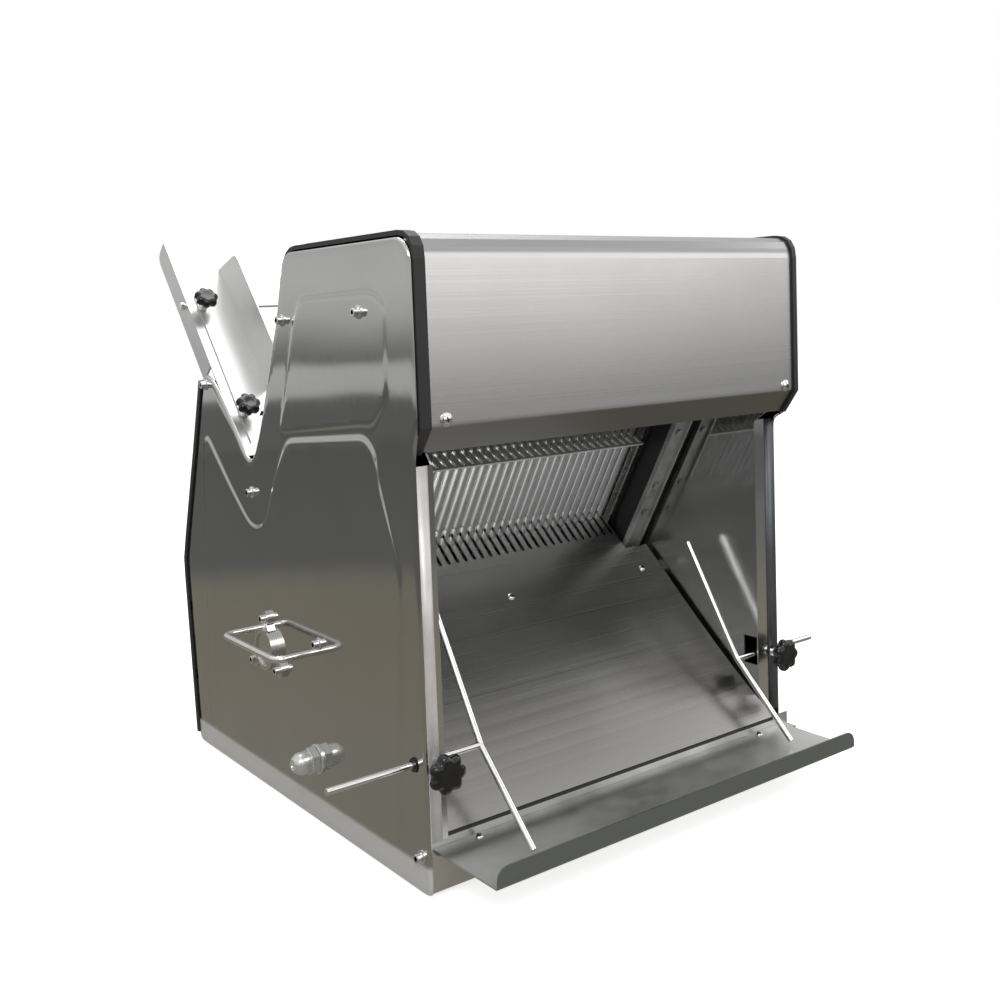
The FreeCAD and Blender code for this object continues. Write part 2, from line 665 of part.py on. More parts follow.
def blade_set(label, centre, first):
    """Every second blade, with shallow scallops ground along both edges."""
    sketch = doc.addObject("Sketcher::SketchObject", "BladeSections")
    w, d = blade_thickness / 2.0, blade_width / 2.0
    for i in range(first, blade_count, 2):
        x = (i - (blade_count - 1) / 2.0) * blade_pitch
        low, high = centre - d, centre + d
        draw_polygon(sketch, [(x - w, low), (x + w, low), (x + w, high), (x - w, high)])
    strips = doc.addObject("Part::Extrusion", "Strips")
    strips.Base = sketch
    strips.Dir = Vector(0, 0, 1)
    strips.LengthFwd = pack_high - pack_low
    strips.Solid = True
    strips.Placement = Placement(Vector(0, 0, pack_low), Rotation())
    scallops = doc.addObject("Sketcher::SketchObject", "Scallops")
    scallops.Placement = Placement(Vector(0, 0, 0), Rotation(Vector(1, 1, 1), 120))
    count = int((pack_high - pack_low - 2 * scallop_pitch) / scallop_pitch)
    for i in range(count):
        z = pack_low + scallop_pitch * (i + 1.5)
        for edge in (-1, 1):
            draw_circle(scallops, (centre + edge * (d + scallop_radius - scallop_depth), z), scallop_radius)
    cutter = doc.addObject("Part::Extrusion", "ScallopCutter")
    cutter.Base = scallops
    cutter.Dir = Vector(1, 0, 0)
    cutter.LengthFwd = land_half
    cutter.LengthRev = land_half
    cutter.Solid = True
    result = cut(strips, cutter, label)
    result.Placement = pack_place
    return result


frame_a_y, frame_b_y = -frame_offset, frame_offset
blade_frame("blade_frame_a", frame_a_y)
blade_frame("blade_frame_b", frame_b_y)
blade_set("blades_a", frame_a_y, 0)
blade_set("blades_b", frame_b_y, 1)

# Guides that the frames run in
guide_inner = land_half + 6.0
guide_back = rail_outer + guide_gap
lip_in = frame_offset + frame_depth / 2.0 + guide_gap
for side, name in ((-1, "left"), (1, "right")):
    wall = wall_right if side > 0 else wall_left
    channel = [(wall, -guide_front), (guide_inner, -guide_front), (guide_inner, -lip_in - 11.0)]
    channel += [(guide_inner + 5.0, -lip_in - 9.0), (guide_inner + 5.0, -lip_in - 2.0)]
    channel += [(guide_inner, -lip_in), (guide_back, -lip_in), (guide_back, lip_in)]
    channel += [(guide_inner, lip_in), (guide_inner, guide_rear), (wall, guide_rear)]
    prism("frame_guide_" + name, "XY_Plane", guide_low, guide_high - guide_low, pack_place,
          polygons=[[(side * x, y) for x, y in channel]])

# Steel strips that hold the guides, with their bolts
strips = []
strip_edge = 9.0
for side in (-1, 1):
    wall = wall_right if side > 0 else wall_left
    x_in, x_out = side * (guide_inner + 1.0), side * (wall - strip_edge)
    low, high = min(x_in, x_out), max(x_in, x_out)
    face = -guide_front - strip_sheet
    z0, z1 = guide_low + 4.0, guide_high - 4.0
    strip = box(low, high, face, -guide_front, z0, z1, pack_place)
    middle = (x_in + x_out) / 2.0
    bolts = [rod((middle, face + 0.5, z), (0, -1, 0), 5.0, 4.6, pack_place) for z in STRIP_BOLTS]
    edges = [box(x, x + 3.0, face - 5.0, face + 0.5, z0, z1, pack_place) for x in (low, high - 3.0)]
    strips.append(fuse([strip] + bolts + edges))
group(strips, "guide_strips")

# Crankshaft, driven pulley and connecting rods
throw_x = 36.0
pin_length = 22.0
web_thickness = 6.0
web_radius = stroke_half + pin_radius + 5.0
shaft_end = half_width + 6.0
pulley_x0 = wall_right + wall_thickness + 3.0
pulley_width = 15.0
middle_end = throw_x - pin_length / 2.0 - web_thickness
outer_start = throw_x + pin_length / 2.0 + web_thickness
crank_pieces = [rod((-middle_end - 0.5, 0, 0), (1, 0, 0), 2 * middle_end + 1.0, journal_radius, pack_place)]
for side in (-1, 1):
    x0 = outer_start - 0.5 if side > 0 else -shaft_end
    shaft_reach = shaft_end - outer_start + 0.5
    crank_pieces.append(rod((x0, 0, 0), (1, 0, 0), shaft_reach, journal_radius, pack_place))
    for web in (middle_end, outer_start - web_thickness):
        x = web if side > 0 else -web - web_thickness
        crank_pieces.append(rod((x, 0, 0), (1, 0, 0), web_thickness, web_radius, pack_place))
    pin_start = (side * throw_x - pin_length / 2.0 - 0.5, -side * stroke_half, 0)
    crank_pieces.append(rod(pin_start, (1, 0, 0), pin_length + 1.0, pin_radius, pack_place))
fuse(crank_pieces, "crankshaft")


def ring(x0, width, outer, inner, place, label=None):
    """A disc with a round bore, its axis along X."""
    disc = rod((x0, 0, 0), (1, 0, 0), width, outer, place)
    bore = rod((x0 - 1, 0, 0), (1, 0, 0), width + 2, inner, place)
    return cut(disc, bore, label)


ring(pulley_x0, pulley_width, pulley_radius, journal_radius, pack_place, "driven_pulley")
big_end_bore = pin_radius + 2 * stroke_half + open_pivot_gap
big_end_outer = big_end_bore + 8.0
rod_thickness = 12.0
for side, name, centre in ((1, "a", frame_a_y), (-1, "b", frame_b_y)):
    x0 = side * throw_x - rod_thickness / 2.0
    eye = ring(x0, rod_thickness, big_end_outer, big_end_bore, pack_place)
    stem_low = big_end_bore + 3.0
    stem = box(x0, x0 + rod_thickness, centre - 5.5, centre + 5.5, stem_low, lower_bar, pack_place)
    fuse([eye, stem], "connecting_rod_" + name)

# Flange bearings on the side panels
bearing_boss = 25.0
bearing_height = 9.0
flange_height = 5.0
for side, name in ((-1, "left"), (1, "right")):
    face = half_width + emboss_height
    x0 = -face - bearing_height if side < 0 else face
    boss = rod((x0, crank_y, crank_z), (1, 0, 0), bearing_height, bearing_boss)
    f0 = -face - flange_height if side < 0 else face
    ears = []
    for y, z in BEARING_BOLTS:
        ears.append(rod((f0, y, z), (1, 0, 0), flange_height, 9.0))
    web = doc.addObject("PartDesign::Body", "FlangeWeb")
    pad(web, "YZ_Plane", f0, flange_height, polygons=[BEARING_BOLTS])
    solid = fuse([boss, web] + ears)
    tools = [rod((x0 + (4.0 if side < 0 else -1.0), crank_y, crank_z), (1, 0, 0), bearing_height - 3.0,
                 journal_radius + running_gap)]
    tools += [rod((f0 - 1, y, z), (1, 0, 0), bearing_height, screw_hole) for y, z in BEARING_BOLTS]
    recess_x = x0 - 1.0 if side < 0 else x0 + bearing_height - 2.0
    tools.append(rod((recess_x, crank_y, crank_z), (1, 0, 0), 3.0, bearing_boss - 5.0))
    cut(solid, fuse(tools), "flange_bearing_" + name)

# Motor with its foot, shaft and pulley, and the belt
motor_place = Placement(Vector(0, motor_y, motor_z), Rotation())
motor_x0, motor_x1 = 40.0, wall_right - 20.0
fuse([rod((motor_x0, 0, 0), (1, 0, 0), motor_x1 - motor_x0, motor_radius, motor_place),
      rod((motor_x0 - 22.0, 0, 0), (1, 0, 0), 23.0, motor_radius - 5.0, motor_place),
      box(motor_x0 + 40.0, motor_x1 - 40.0, -30.0, 30.0, motor_radius - 10.0, motor_radius + 18.0,
          motor_place)], "motor")
foot_top = motor_z - motor_radius + 8.0
fuse([box(motor_x0 + 20.0, motor_x1 - 20.0, motor_y - 55.0, motor_y + 55.0, pan_top, pan_top + 6.0),
      box(motor_x0 + 30.0, motor_x0 + 42.0, motor_y - 40.0, motor_y + 40.0, pan_top + 5.0, foot_top - 1.0),
      box(motor_x1 - 42.0, motor_x1 - 30.0, motor_y - 40.0, motor_y + 40.0, pan_top + 5.0, foot_top - 1.0)])
saddle_blank = doc.Objects[-1]
saddle_bore = rod((motor_x0, 0, 0), (1, 0, 0), motor_x1 - motor_x0, motor_radius + 0.05, motor_place)
cut(saddle_blank, saddle_bore, "motor_mount")
shaft_reach = pulley_x0 + pulley_width - motor_x1
motor_shaft = rod((motor_x1 + seat_gap, 0, 0), (1, 0, 0), shaft_reach, 7.0, motor_place)
motor_disc = rod((pulley_x0, 0, 0), (1, 0, 0), pulley_width, motor_pulley_radius, motor_place)
fuse([motor_shaft, motor_disc], "motor_pulley")


def belt_loop(r1, c1, r2, c2):
    """A closed run of points round two pulleys."""
    span = math.hypot(c2[0] - c1[0], c2[1] - c1[1])
    along = math.atan2(c2[1] - c1[1], c2[0] - c1[0])
    lean = math.acos((r1 - r2) / span)
    points = []
    steps = 24
    for i in range(steps + 1):
        a = along + lean + (2 * math.pi - 2 * lean) * i / steps
        points.append((c1[0] + r1 * math.cos(a), c1[1] + r1 * math.sin(a)))
    for i in range(steps + 1):
        a = along - lean + 2 * lean * i / steps
        points.append((c2[0] + r2 * math.cos(a), c2[1] + r2 * math.sin(a)))
    return points


def belt_edge(out):
    """The belt's run at a given distance outside both pulleys."""
    return belt_loop(pulley_radius + out, (crank_y, crank_z), motor_pulley_radius + out, (motor_y, motor_z))


belt_clear = 0.4
belt_in = belt_edge(belt_clear)
belt_out = belt_edge(belt_depth)
prism("drive_belt", "YZ_Plane", pulley_x0 + 2.5, "Sizes.belt_width", polygons=[belt_out, belt_in])

# Hand knobs
knob_lobes = 7
knob_height = 13.0


def star_knob(label, place, radius, stem):
    """A lobed knob with its stem; the knob's foot is at the place, its axis along local Z."""
    core = radius * 0.78
    lobe = radius * 0.3
    pieces = stem + [rod((0, 0, 0), (0, 0, 1), knob_height, core, place)]
    for i in range(knob_lobes):
        a = 2 * math.pi * i / knob_lobes
        reach = radius - lobe
        foot = (reach * math.cos(a), reach * math.sin(a), 0.5)
        pieces.append(rod(foot, (0, 0, 1), knob_height - 1.0, lobe, place))
    return fuse(pieces, label)


ferrule_length = 14.0


def outfeed_side(side, name):
    """One outfeed guide: its sliding rod, clamp block, bushing and hand knob."""
    setback = right_front_setback if side > 0 else 0.0
    rod_y = right_rod_y if side > 0 else left_rod_y
    joint_x = side * (201.0 if side < 0 else 214.0)
    outer_x = side * (382.0 if side < 0 else 357.0)
    front = front_y + setback
    upper = (rod_y + 82.0, rod_z + 138.0)
    lower = (rod_y - 85.0, tray_top + rod_radius + 3.0)
    start = min(joint_x, outer_x)
    pieces = [rod((start, rod_y, rod_z), (1, 0, 0), abs(outer_x - joint_x), rod_radius)]
    for end in (upper, lower):
        run = (0, end[0] - rod_y, end[1] - rod_z)
        pieces.append(rod((joint_x, rod_y, rod_z), run, math.hypot(run[1], run[2]), rod_radius))
    ball = doc.addObject("Part::Sphere", "Elbow")
    ball.Radius = rod_radius
    ball.Placement = Placement(Vector(joint_x, rod_y, rod_z), Rotation())
    fuse(pieces + [ball], "outfeed_guide_" + name)
    block_in, block_out = half_width - flange_width + 0.5, inside - 1.5
    low, high = min(side * block_in, side * block_out), max(side * block_in, side * block_out)
    block_front = front + 2 * skin + 2 * seat_gap
    blank = box(low, high, block_front, rod_y + 8.5, rod_z - 12.0, rod_z + 12.0)
    bores = fuse([rod((low - 1, rod_y, rod_z), (1, 0, 0), high - low + 2, rod_radius + 0.15),
                  rod((side * knob_x, block_front - 1, rod_z), (0, 1, 0), rod_y - block_front + 1,
                      knob_stud_radius + 0.05)])
    cut(blank, bores, "rod_clamp_" + name)
    ring_x = half_width if side > 0 else -half_width - 1.5
    flange = rod((ring_x, rod_y, rod_z), (1, 0, 0), 1.5, 7.0)
    sleeve_x = half_width - skin if side > 0 else -half_width
    sleeve = rod((sleeve_x, rod_y, rod_z), (1, 0, 0), skin, grommet_hole)
    hole = rod((side * half_width - 5, rod_y, rod_z), (1, 0, 0), 10.0, rod_radius + 0.15)
    BUSHINGS.append(cut(fuse([flange, sleeve]), hole))
    place = Placement(Vector(side * knob_x, front, rod_z), Rotation(Vector(1, 0, 0), 90))
    head = place.multiply(Placement(Vector(0, 0, ferrule_length + seat_gap), Rotation()))
    reach = abs(front - rod_y) - rod_radius - seat_gap
    stem = [rod((0, 0, seat_gap), (0, 0, 1), ferrule_length + 1.0, 6.5, place),
            rod((0, 0, -reach), (0, 0, 1), reach + 2.0, knob_stud_radius, place)]
    star_knob("outfeed_knob_" + name, head, outfeed_knob_radius, stem)


BUSHINGS = []
outfeed_side(-1, "left")
outfeed_side(1, "right")
group(BUSHINGS, "rod_bushings")

# Infeed guides
foot_out = stud_x + 5.0
for side, name in ((-1, "left"), (1, "right")):
    foot_in = foot_out - guide_foot
    foot_outline = [(foot_out, 24.0), (foot_out, 272.0), (foot_in, 320.0), (foot_in, 104.0)]
    body = new_body("infeed_guide_" + name, chute_place)
    pad(body, "XY_Plane", seat_gap, "Sizes.guide_sheet",
        polygons=[[(side * x, y) for x, y in foot_outline]])
    wing_x = -foot_in if side < 0 else foot_in - guide_sheet
    wing = rounded(rounded([(104.0, seat_gap), (320.0, seat_gap), (296.0, guide_wing), (130.0, guide_wing)],
                           3, 12.0), 2, 12.0)
    pad(body, "YZ_Plane", wing_x, "Sizes.guide_sheet", polygons=[wing])
    pocket(body, "XY_Plane", seat_gap + guide_sheet + 1.0, guide_sheet + 2.0,
           circles=[((side * stud_x, level), stud_radius + 0.05) for level in STUD_LEVELS])
    for level, where in zip(STUD_LEVELS, ("lower", "upper")):
        at = chute_place.multiply(Placement(Vector(side * stud_x, level, 0.0), Rotation()))
        top = seat_gap + guide_sheet
        knob_at = at.multiply(Placement(Vector(0, 0, top + 14.0), Rotation()))
        under = chute_sheet + seat_gap
        stem = [rod((0, 0, top + 0.2), (0, 0, 1), 15.0, 6.0, at),
                rod((0, 0, -under - 6.0), (0, 0, 1), under + 6.0 + top + 2.0, stud_radius, at),
                rod((0, 0, -under - 5.5), (0, 0, 1), 5.5, 6.0, at)]
        star_knob("infeed_knob_%s_%s" % (name, where), knob_at, infeed_knob_radius, stem)

# Carry handles
for side, name in ((-1, "left"), (1, "right")):
    x0 = side * (half_width + emboss_height)
    x1 = side * (half_width + handle_reach)
    path = rounded(rounded([(x0, HANDLE_FEET[0]), (x1, HANDLE_FEET[0]), (x1, HANDLE_FEET[1]),
                            (x0, HANDLE_FEET[1])], 2, 14.0, 8), 1, 14.0, 8)
    body = new_body("handle_" + name)
    spine = body.newObject("Sketcher::SketchObject", "Spine")
    spine.AttachmentSupport = [(role_plane(body, "XY_Plane"), "")]
    spine.MapMode = "FlatFace"
    spine.AttachmentOffset = Placement(Vector(0, 0, handle_z), Rotation())
    for a, b in zip(path[:-1], path[1:]):
        spine.addGeometry(Part.LineSegment(Vector(a[0], a[1], 0), Vector(b[0], b[1], 0)), False)
    section = body_sketch(body, "YZ_Plane", x0, circles=[((HANDLE_FEET[0], handle_z), handle_radius)])
    pipe = body.newObject("PartDesign::AdditivePipe", "Bar")
    pipe.Profile = section
    pipe.Spine = spine
    pipe.Transition = 1
    section.Visibility = False
    spine.Visibility = False

# Cable gland
gland_face = -half_width - emboss_height
fuse([rod((gland_face - 3.0, gland_y, gland_z), (1, 0, 0), 3.0, 17.0),
      rod((gland_face - 13.0, gland_y, gland_z), (1, 0, 0), 11.0, 15.5),
      rod((gland_face - 26.0, gland_y, gland_z), (1, 0, 0), 14.0, 12.5),
      rod((gland_face - 32.0, gland_y, gland_z), (1, 0, 0), 7.0, 8.5),
      rod((gland_face - 2.0, gland_y, gland_z), (1, 0, 0), emboss_height + skin + 8.0, gland_radius)])
gland_blank = doc.Objects[-1]
cut(gland_blank, rod((gland_face - 33.0, gland_y, gland_z), (1, 0, 0), 50.0, 4.0), "cable_gland")

# Screws of the side panels, bearings and handles
screw_pieces = []
for side in (-1, 1):
    for index, (y, z) in enumerate(SCREWS):
        if side > 0 and y < front_y + right_front_setback + 10.0:
            continue
        raised = emboss_height if index in (1, 5) else 0.0
        face = half_width + raised
        base = -face - washer_height if side < 0 else face
        head = -face - washer_height - screw_head_height if side < 0 else face + washer_height
        inner = -face - 1.0 if side < 0 else half_width - skin - shank_reach
        shank = face + 1.0 - half_width + skin + shank_reach
        screw_pieces.append(fuse([
            rod((base, y, z), (1, 0, 0), washer_height, washer_radius),
            rod((head, y, z), (1, 0, 0), screw_head_height, screw_head),
            rod((inner, y, z), (1, 0, 0), shank, screw_shank)]))
    for y, z in BEARING_BOLTS:
        face = half_width + emboss_height + flange_height
        head = -face - screw_head_height if side < 0 else face
        inner = -face - 1.0 if side < 0 else half_width - skin - shank_reach
        shank = face + 1.0 - half_width + skin + shank_reach
        screw_pieces.append(fuse([
            rod((head, y, z), (1, 0, 0), screw_head_height, screw_head),
            rod((inner, y, z), (1, 0, 0), shank, screw_shank)]))
group(screw_pieces, "panel_screws")
head_face = head_front - 1.0
group([fuse([rod((x, head_front, cover_screw_z), (0, -1, 0), 1.2, 7.5),
             rod((x, head_face, cover_screw_z), (0, -1, 0), 3.2, 5.0),
             rod((x, head_face, cover_screw_z), (0, 1, 0), 2.4, 2.0)]) for x in COVER_SCREW_X],
      "cover_screws")

# Switch box with its two push buttons, on the right
box_x = half_width + emboss_height
box_y0, box_y1, box_z0, box_z1 = -200.0, -150.0, 250.0, 340.0
box_depth = 30.0
button_radius = 9.0
button_travel = 3.0
BUTTONS = [(-175.0, 318.0, "start_button"), (-175.0, 272.0, "stop_button")]
shell = box(box_x, box_x + box_depth, box_y0, box_y1, box_z0, box_z1)
tools = [box(box_x - 1.0, box_x + box_depth - 3.0, box_y0 + 3, box_y1 - 3, box_z0 + 3, box_z1 - 3)]
tools += [rod((box_x + 10.0, y, z), (1, 0, 0), box_depth, button_radius + 0.4) for y, z, n in BUTTONS]
cut(shell, fuse(tools), "switch_box")
for y, z, name in BUTTONS:
    fuse([rod((box_x + box_depth - 14.0, y, z), (1, 0, 0), 20.0, button_radius),
          rod((box_x + box_depth - 16.0, y, z), (1, 0, 0), 3.0, button_radius + 3.0)], name)
block_y0, block_y1, block_z0, block_z1 = box_y0 + 8.0, box_y1 - 8.0, box_z0 + 8.0, box_z1 - 8.0
prism("contact_block", "YZ_Plane", box_x, box_depth - 16.0 - button_travel - 0.3,
      polygons=[[(block_y0, block_z0), (block_y1, block_z0), (block_y1, block_z1), (block_y0, block_z1)]])

doc.recompute()
bad = [o.Name for o in doc.Objects if "Invalid" in o.State or "Error" in o.State]
if bad:
    raise RuntimeError("features failed: %s" % ", ".join(bad))
for label, obj in PARTS:
    shape = obj.Shape
    if shape.isNull() or not shape.isValid() or not shape.Solids:
        raise RuntimeError("bad shape: %s" % label)
    shape.exportStep(os.path.join("parts", label + ".step"))
    print("%-26s solids %3d  volume %9.0f mm3" % (label, len(shape.Solids), shape.Volume))
print("nodes", len(PARTS))
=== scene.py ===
import math

import bmesh
import bpy
from mathutils import Matrix, Vector
from mathutils.geometry import delaunay_2d_cdt


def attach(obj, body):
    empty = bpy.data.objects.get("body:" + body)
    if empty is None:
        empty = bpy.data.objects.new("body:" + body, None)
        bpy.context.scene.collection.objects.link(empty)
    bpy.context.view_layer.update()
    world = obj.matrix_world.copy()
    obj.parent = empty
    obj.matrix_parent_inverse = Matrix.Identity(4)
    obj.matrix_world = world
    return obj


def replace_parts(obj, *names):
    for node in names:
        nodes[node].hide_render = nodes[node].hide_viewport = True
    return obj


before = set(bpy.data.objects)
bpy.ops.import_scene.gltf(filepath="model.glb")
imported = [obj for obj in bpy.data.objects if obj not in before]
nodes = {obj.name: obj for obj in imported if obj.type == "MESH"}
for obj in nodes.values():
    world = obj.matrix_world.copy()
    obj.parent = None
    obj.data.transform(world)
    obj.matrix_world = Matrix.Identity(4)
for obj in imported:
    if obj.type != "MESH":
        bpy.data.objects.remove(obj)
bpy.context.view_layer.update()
scene = bpy.context.scene

# Camera at the photograph's place
cam_data = bpy.data.cameras.new("camera")
cam_data.sensor_width = 36.0
cam_data.lens = 41.76
cam_data.shift_y = -0.095
cam_data.clip_end = 50.0
cam = bpy.data.objects.new("camera", cam_data)
scene.collection.objects.link(cam)
cam_right = Vector((0.80198, -0.59621, -0.03686))
cam_up = Vector((0.07611, 0.04078, 0.99626))
cam_back = Vector((-0.59248, -0.80179, 0.07809))
turn = Matrix((cam_right, cam_up, cam_back)).transposed().to_4x4()
cam.matrix_world = Matrix.Translation((-0.8747, -1.2419, 0.5807)) @ turn
scene.camera = cam
scene.view_settings.view_transform = "Standard"


# Materials
def material(name):
    """An empty node material; returns it with its tree and its shader."""
    mat = bpy.data.materials.new(name)
    mat.use_nodes = True
    return mat, mat.node_tree, mat.node_tree.nodes["Principled BSDF"]


def noise(tree, scale, detail, stretch=None):
    """A noise in the object's own metres, stretched by a factor per axis."""
    coords = tree.nodes.new("ShaderNodeTexCoord")
    node = tree.nodes.new("ShaderNodeTexNoise")
    node.inputs["Scale"].default_value = scale
    node.inputs["Detail"].default_value = detail
    source = coords.outputs["Object"]
    if stretch:
        mapping = tree.nodes.new("ShaderNodeMapping")
        mapping.inputs["Scale"].default_value = stretch
        tree.links.new(source, mapping.inputs["Vector"])
        source = mapping.outputs["Vector"]
    tree.links.new(source, node.inputs["Vector"])
    return node.outputs["Fac"]


def spread(tree, value, low, high, from_low=0.3, from_high=0.7):
    """Maps a value to a new range."""
    node = tree.nodes.new("ShaderNodeMapRange")
    node.inputs["From Min"].default_value = from_low
    node.inputs["From Max"].default_value = from_high
    node.inputs["To Min"].default_value = low
    node.inputs["To Max"].default_value = high
    tree.links.new(value, node.inputs["Value"])
    return node.outputs["Result"]


def bump(tree, height, strength, distance, under=None):
    """A bump, on top of another where one is given."""
    node = tree.nodes.new("ShaderNodeBump")
    node.inputs["Strength"].default_value = strength
    node.inputs["Distance"].default_value = distance
    tree.links.new(height, node.inputs["Height"])
    if under:
        tree.links.new(under, node.inputs["Normal"])
    return node.outputs["Normal"]


def tint(tree, colour, factor):
    """A colour that a value makes lighter and darker."""
    node = tree.nodes.new("ShaderNodeVectorMath")
    node.operation = "SCALE"
    node.inputs[0].default_value = colour
    tree.links.new(factor, node.inputs["Scale"])
    return node.outputs["Vector"]


def clouded(tree, colour, value, cloud):
    """A colour with soft lighter and darker clouds."""
    return tint(tree, colour, spread(tree, value, 1 - cloud, 1 + cloud))


def moulded(name, colour, rough, metal=0.0, grain=0.2, grain_scale=700.0, cloud=0.06):
    """A moulded, cast or plated finish: fine grain and faint tone changes."""
    mat, tree, shader = material(name)
    fine = noise(tree, grain_scale, 3)
    slow = noise(tree, 35.0, 3)
    tree.links.new(clouded(tree, colour, slow, cloud), shader.inputs["Base Color"])
    tree.links.new(spread(tree, fine, rough * 0.85, rough * 1.15), shader.inputs["Roughness"])
    tree.links.new(bump(tree, fine, grain, 0.0002), shader.inputs["Normal"])
    shader.inputs["Metallic"].default_value = metal
    return mat


def steel(name, colour, rough, stretch, brush, waves, cloud, fine=400.0, wave_scale=4.0):
    """Stainless sheet: brush lines, slow waves in the surface and soft clouds of handling."""
    mat, tree, shader = material(name)
    shader.inputs["Metallic"].default_value = 1.0
    lines = noise(tree, fine, 3, stretch)
    smear = noise(tree, 9.0, 4)
    slow = bump(tree, noise(tree, wave_scale, 1.0), waves, 0.01)
    tree.links.new(clouded(tree, colour, smear, cloud), shader.inputs["Base Color"])
    tree.links.new(spread(tree, lines, rough * 0.88, rough * 1.12), shader.inputs["Roughness"])
    tree.links.new(bump(tree, lines, brush, 0.00005, slow), shader.inputs["Normal"])
    return mat


def fade(mat, axis, start, end, colour=None, rough=None, metal=None):
    """Change colour, roughness and metal along one axis of the machine's frame, from a start to an end in
    metres; its colour changes are painted light and shade.
    """
    tree = mat.node_tree
    shader = tree.nodes["Principled BSDF"]
    coords = tree.nodes.new("ShaderNodeTexCoord")
    split = tree.nodes.new("ShaderNodeSeparateXYZ")
    tree.links.new(coords.outputs["Object"], split.inputs[0])
    factor = spread(tree, split.outputs[axis], 0.0, 1.0, start, end)
    for name, value in (("Base Color", colour), ("Roughness", rough), ("Metallic", metal)):
        if value is None:
            continue
        socket = shader.inputs[name]
        node = tree.nodes.new("ShaderNodeMix")
        node.data_type = "RGBA" if name == "Base Color" else "FLOAT"
        a, b = [s for s in node.inputs if s.name in "AB" and s.type == socket.type]
        result = [s for s in node.outputs if s.type == socket.type][0]
        tree.links.new(factor, node.inputs["Factor"])
        if socket.is_linked:
            tree.links.new(socket.links[0].from_socket, a)
        else:
            a.default_value = socket.default_value
        b.default_value = value
        tree.links.new(result, socket)


panel_steel = steel("panel_steel", (0.50, 0.50, 0.49), 0.07, (1, 1, 0.05), 0.04, 0.12, 0.03, 300, 5.0)
# the side panels lighter, rougher and less metallic along the bottom edge: a painted reflection of the pale
# floor
fade(panel_steel, "Z", 0.036, 0.030, (0.62, 0.615, 0.60, 1), 0.42, 0.30)
flange_steel = moulded("flange_steel", (0.62, 0.60, 0.585), 0.40, 0.35, 0.2, 500.0, 0.10)
# the right panel's front flange: the same steel as the left one, painted dark as shade
flange_painted_shade = moulded("flange_painted_shade", (0.10, 0.106, 0.115), 0.40, 0.6, 0.2, 500.0, 0.10)
cover_steel = steel("cover_steel", (0.66, 0.645, 0.64), 0.30, (0.002, 1, 1), 0.03, 0.04, 0.05, 900)
# the cover face lighter at the top and darker lower down: painted shade
fade(cover_steel, "Z", 0.640, 0.500, (0.50, 0.495, 0.49, 1))
# the chamfer below Z 0.472 much darker: painted shade
fade(cover_steel, "Z", 0.478, 0.472, (0.22, 0.22, 0.22, 1), 0.34)
# the top above Z 0.644 darker: painted shade
fade(cover_steel, "Z", 0.641, 0.644, (0.34, 0.34, 0.34, 1))
rear_steel = steel("rear_steel", (0.52, 0.52, 0.515), 0.26, (0.02, 1, 1), 0.2, 0.08, 0.05, 500)
plate_steel = steel("plate_steel", (0.95, 0.95, 0.93), 0.25, (0.002, 1, 1), 0.015, 0.16, 0.04, 900)
# the outfeed plate darker towards its low front edge: painted shade
fade(plate_steel, "Z", 0.24, 0.12, (0.30, 0.295, 0.29, 1))
wall_steel = steel("wall_steel", (0.62, 0.62, 0.61), 0.05, (1, 0.03, 1), 0.03, 0.08, 0.04, 300)
fade(wall_steel, "Z", 0.36, 0.33, None, 0.22)
tray_steel = steel("tray_steel", (0.60, 0.60, 0.59), 0.38, (1, 1, 1), 0.0, 0.05, 0.18, 60)
# the front face of the tray lip dark, duller and less metallic: painted shade
fade(tray_steel, "Y", -0.3872, -0.3884, (0.15, 0.165, 0.155, 1), 0.30, 0.5)
chute_steel = steel("chute_steel", (0.62, 0.62, 0.61), 0.32, (1, 1, 1), 0.0, 0.05, 0.06, 60)
for finish in (tray_steel, chute_steel):
    finish.node_tree.nodes["Principled BSDF"].inputs["Metallic"].default_value = 0.6
blade_steel = moulded("blade_steel", (0.42, 0.425, 0.43), 0.38, 0.45, 0.0, 900.0, 0.10)
bar_steel = moulded("bar_steel", (0.74, 0.74, 0.73), 0.18, 1.0, 0.04)
zinc = moulded("zinc", (0.62, 0.62, 0.60), 0.28, 1.0, 0.15)
bright = moulded("bright_plating", (0.78, 0.78, 0.77), 0.16, 1.0, 0.05)
comb_light = moulded("comb_light", (0.60, 0.60, 0.58), 0.35, 0.3, 0.1)
strip_steel = moulded("strip_steel", (0.40, 0.40, 0.39), 0.40, 0.5, 0.0, 120.0, 0.3)
rubber = moulded("rubber", (0.014, 0.014, 0.015), 0.5, 0.0, 0.3)
black = moulded("black", (0.008, 0.008, 0.009), 0.18, 0.0, 0.05)
# the frame guides' own black, also used as painted shade in the screw recesses
guide_black_and_recess_shade = moulded("dark_guide_and_recess_shade", (0.012, 0.013, 0.014), 0.38, 0.0, 0.3)
gland_grey = moulded("gland_grey", (0.60, 0.61, 0.59), 0.25, 0.7, 0.1)
green = moulded("green_button", (0.02, 0.30, 0.06), 0.3)
red = moulded("red_button", (0.50, 0.02, 0.015), 0.3)
iron = moulded("cast_iron", (0.22, 0.22, 0.23), 0.5, 0.8, 0.5)
paint = moulded("motor_paint", (0.06, 0.07, 0.09), 0.45, 0.0, 0.4)
galvanised = moulded("galvanised", (0.42, 0.43, 0.44), 0.45, 0.9, 0.3, 60.0, 0.15)

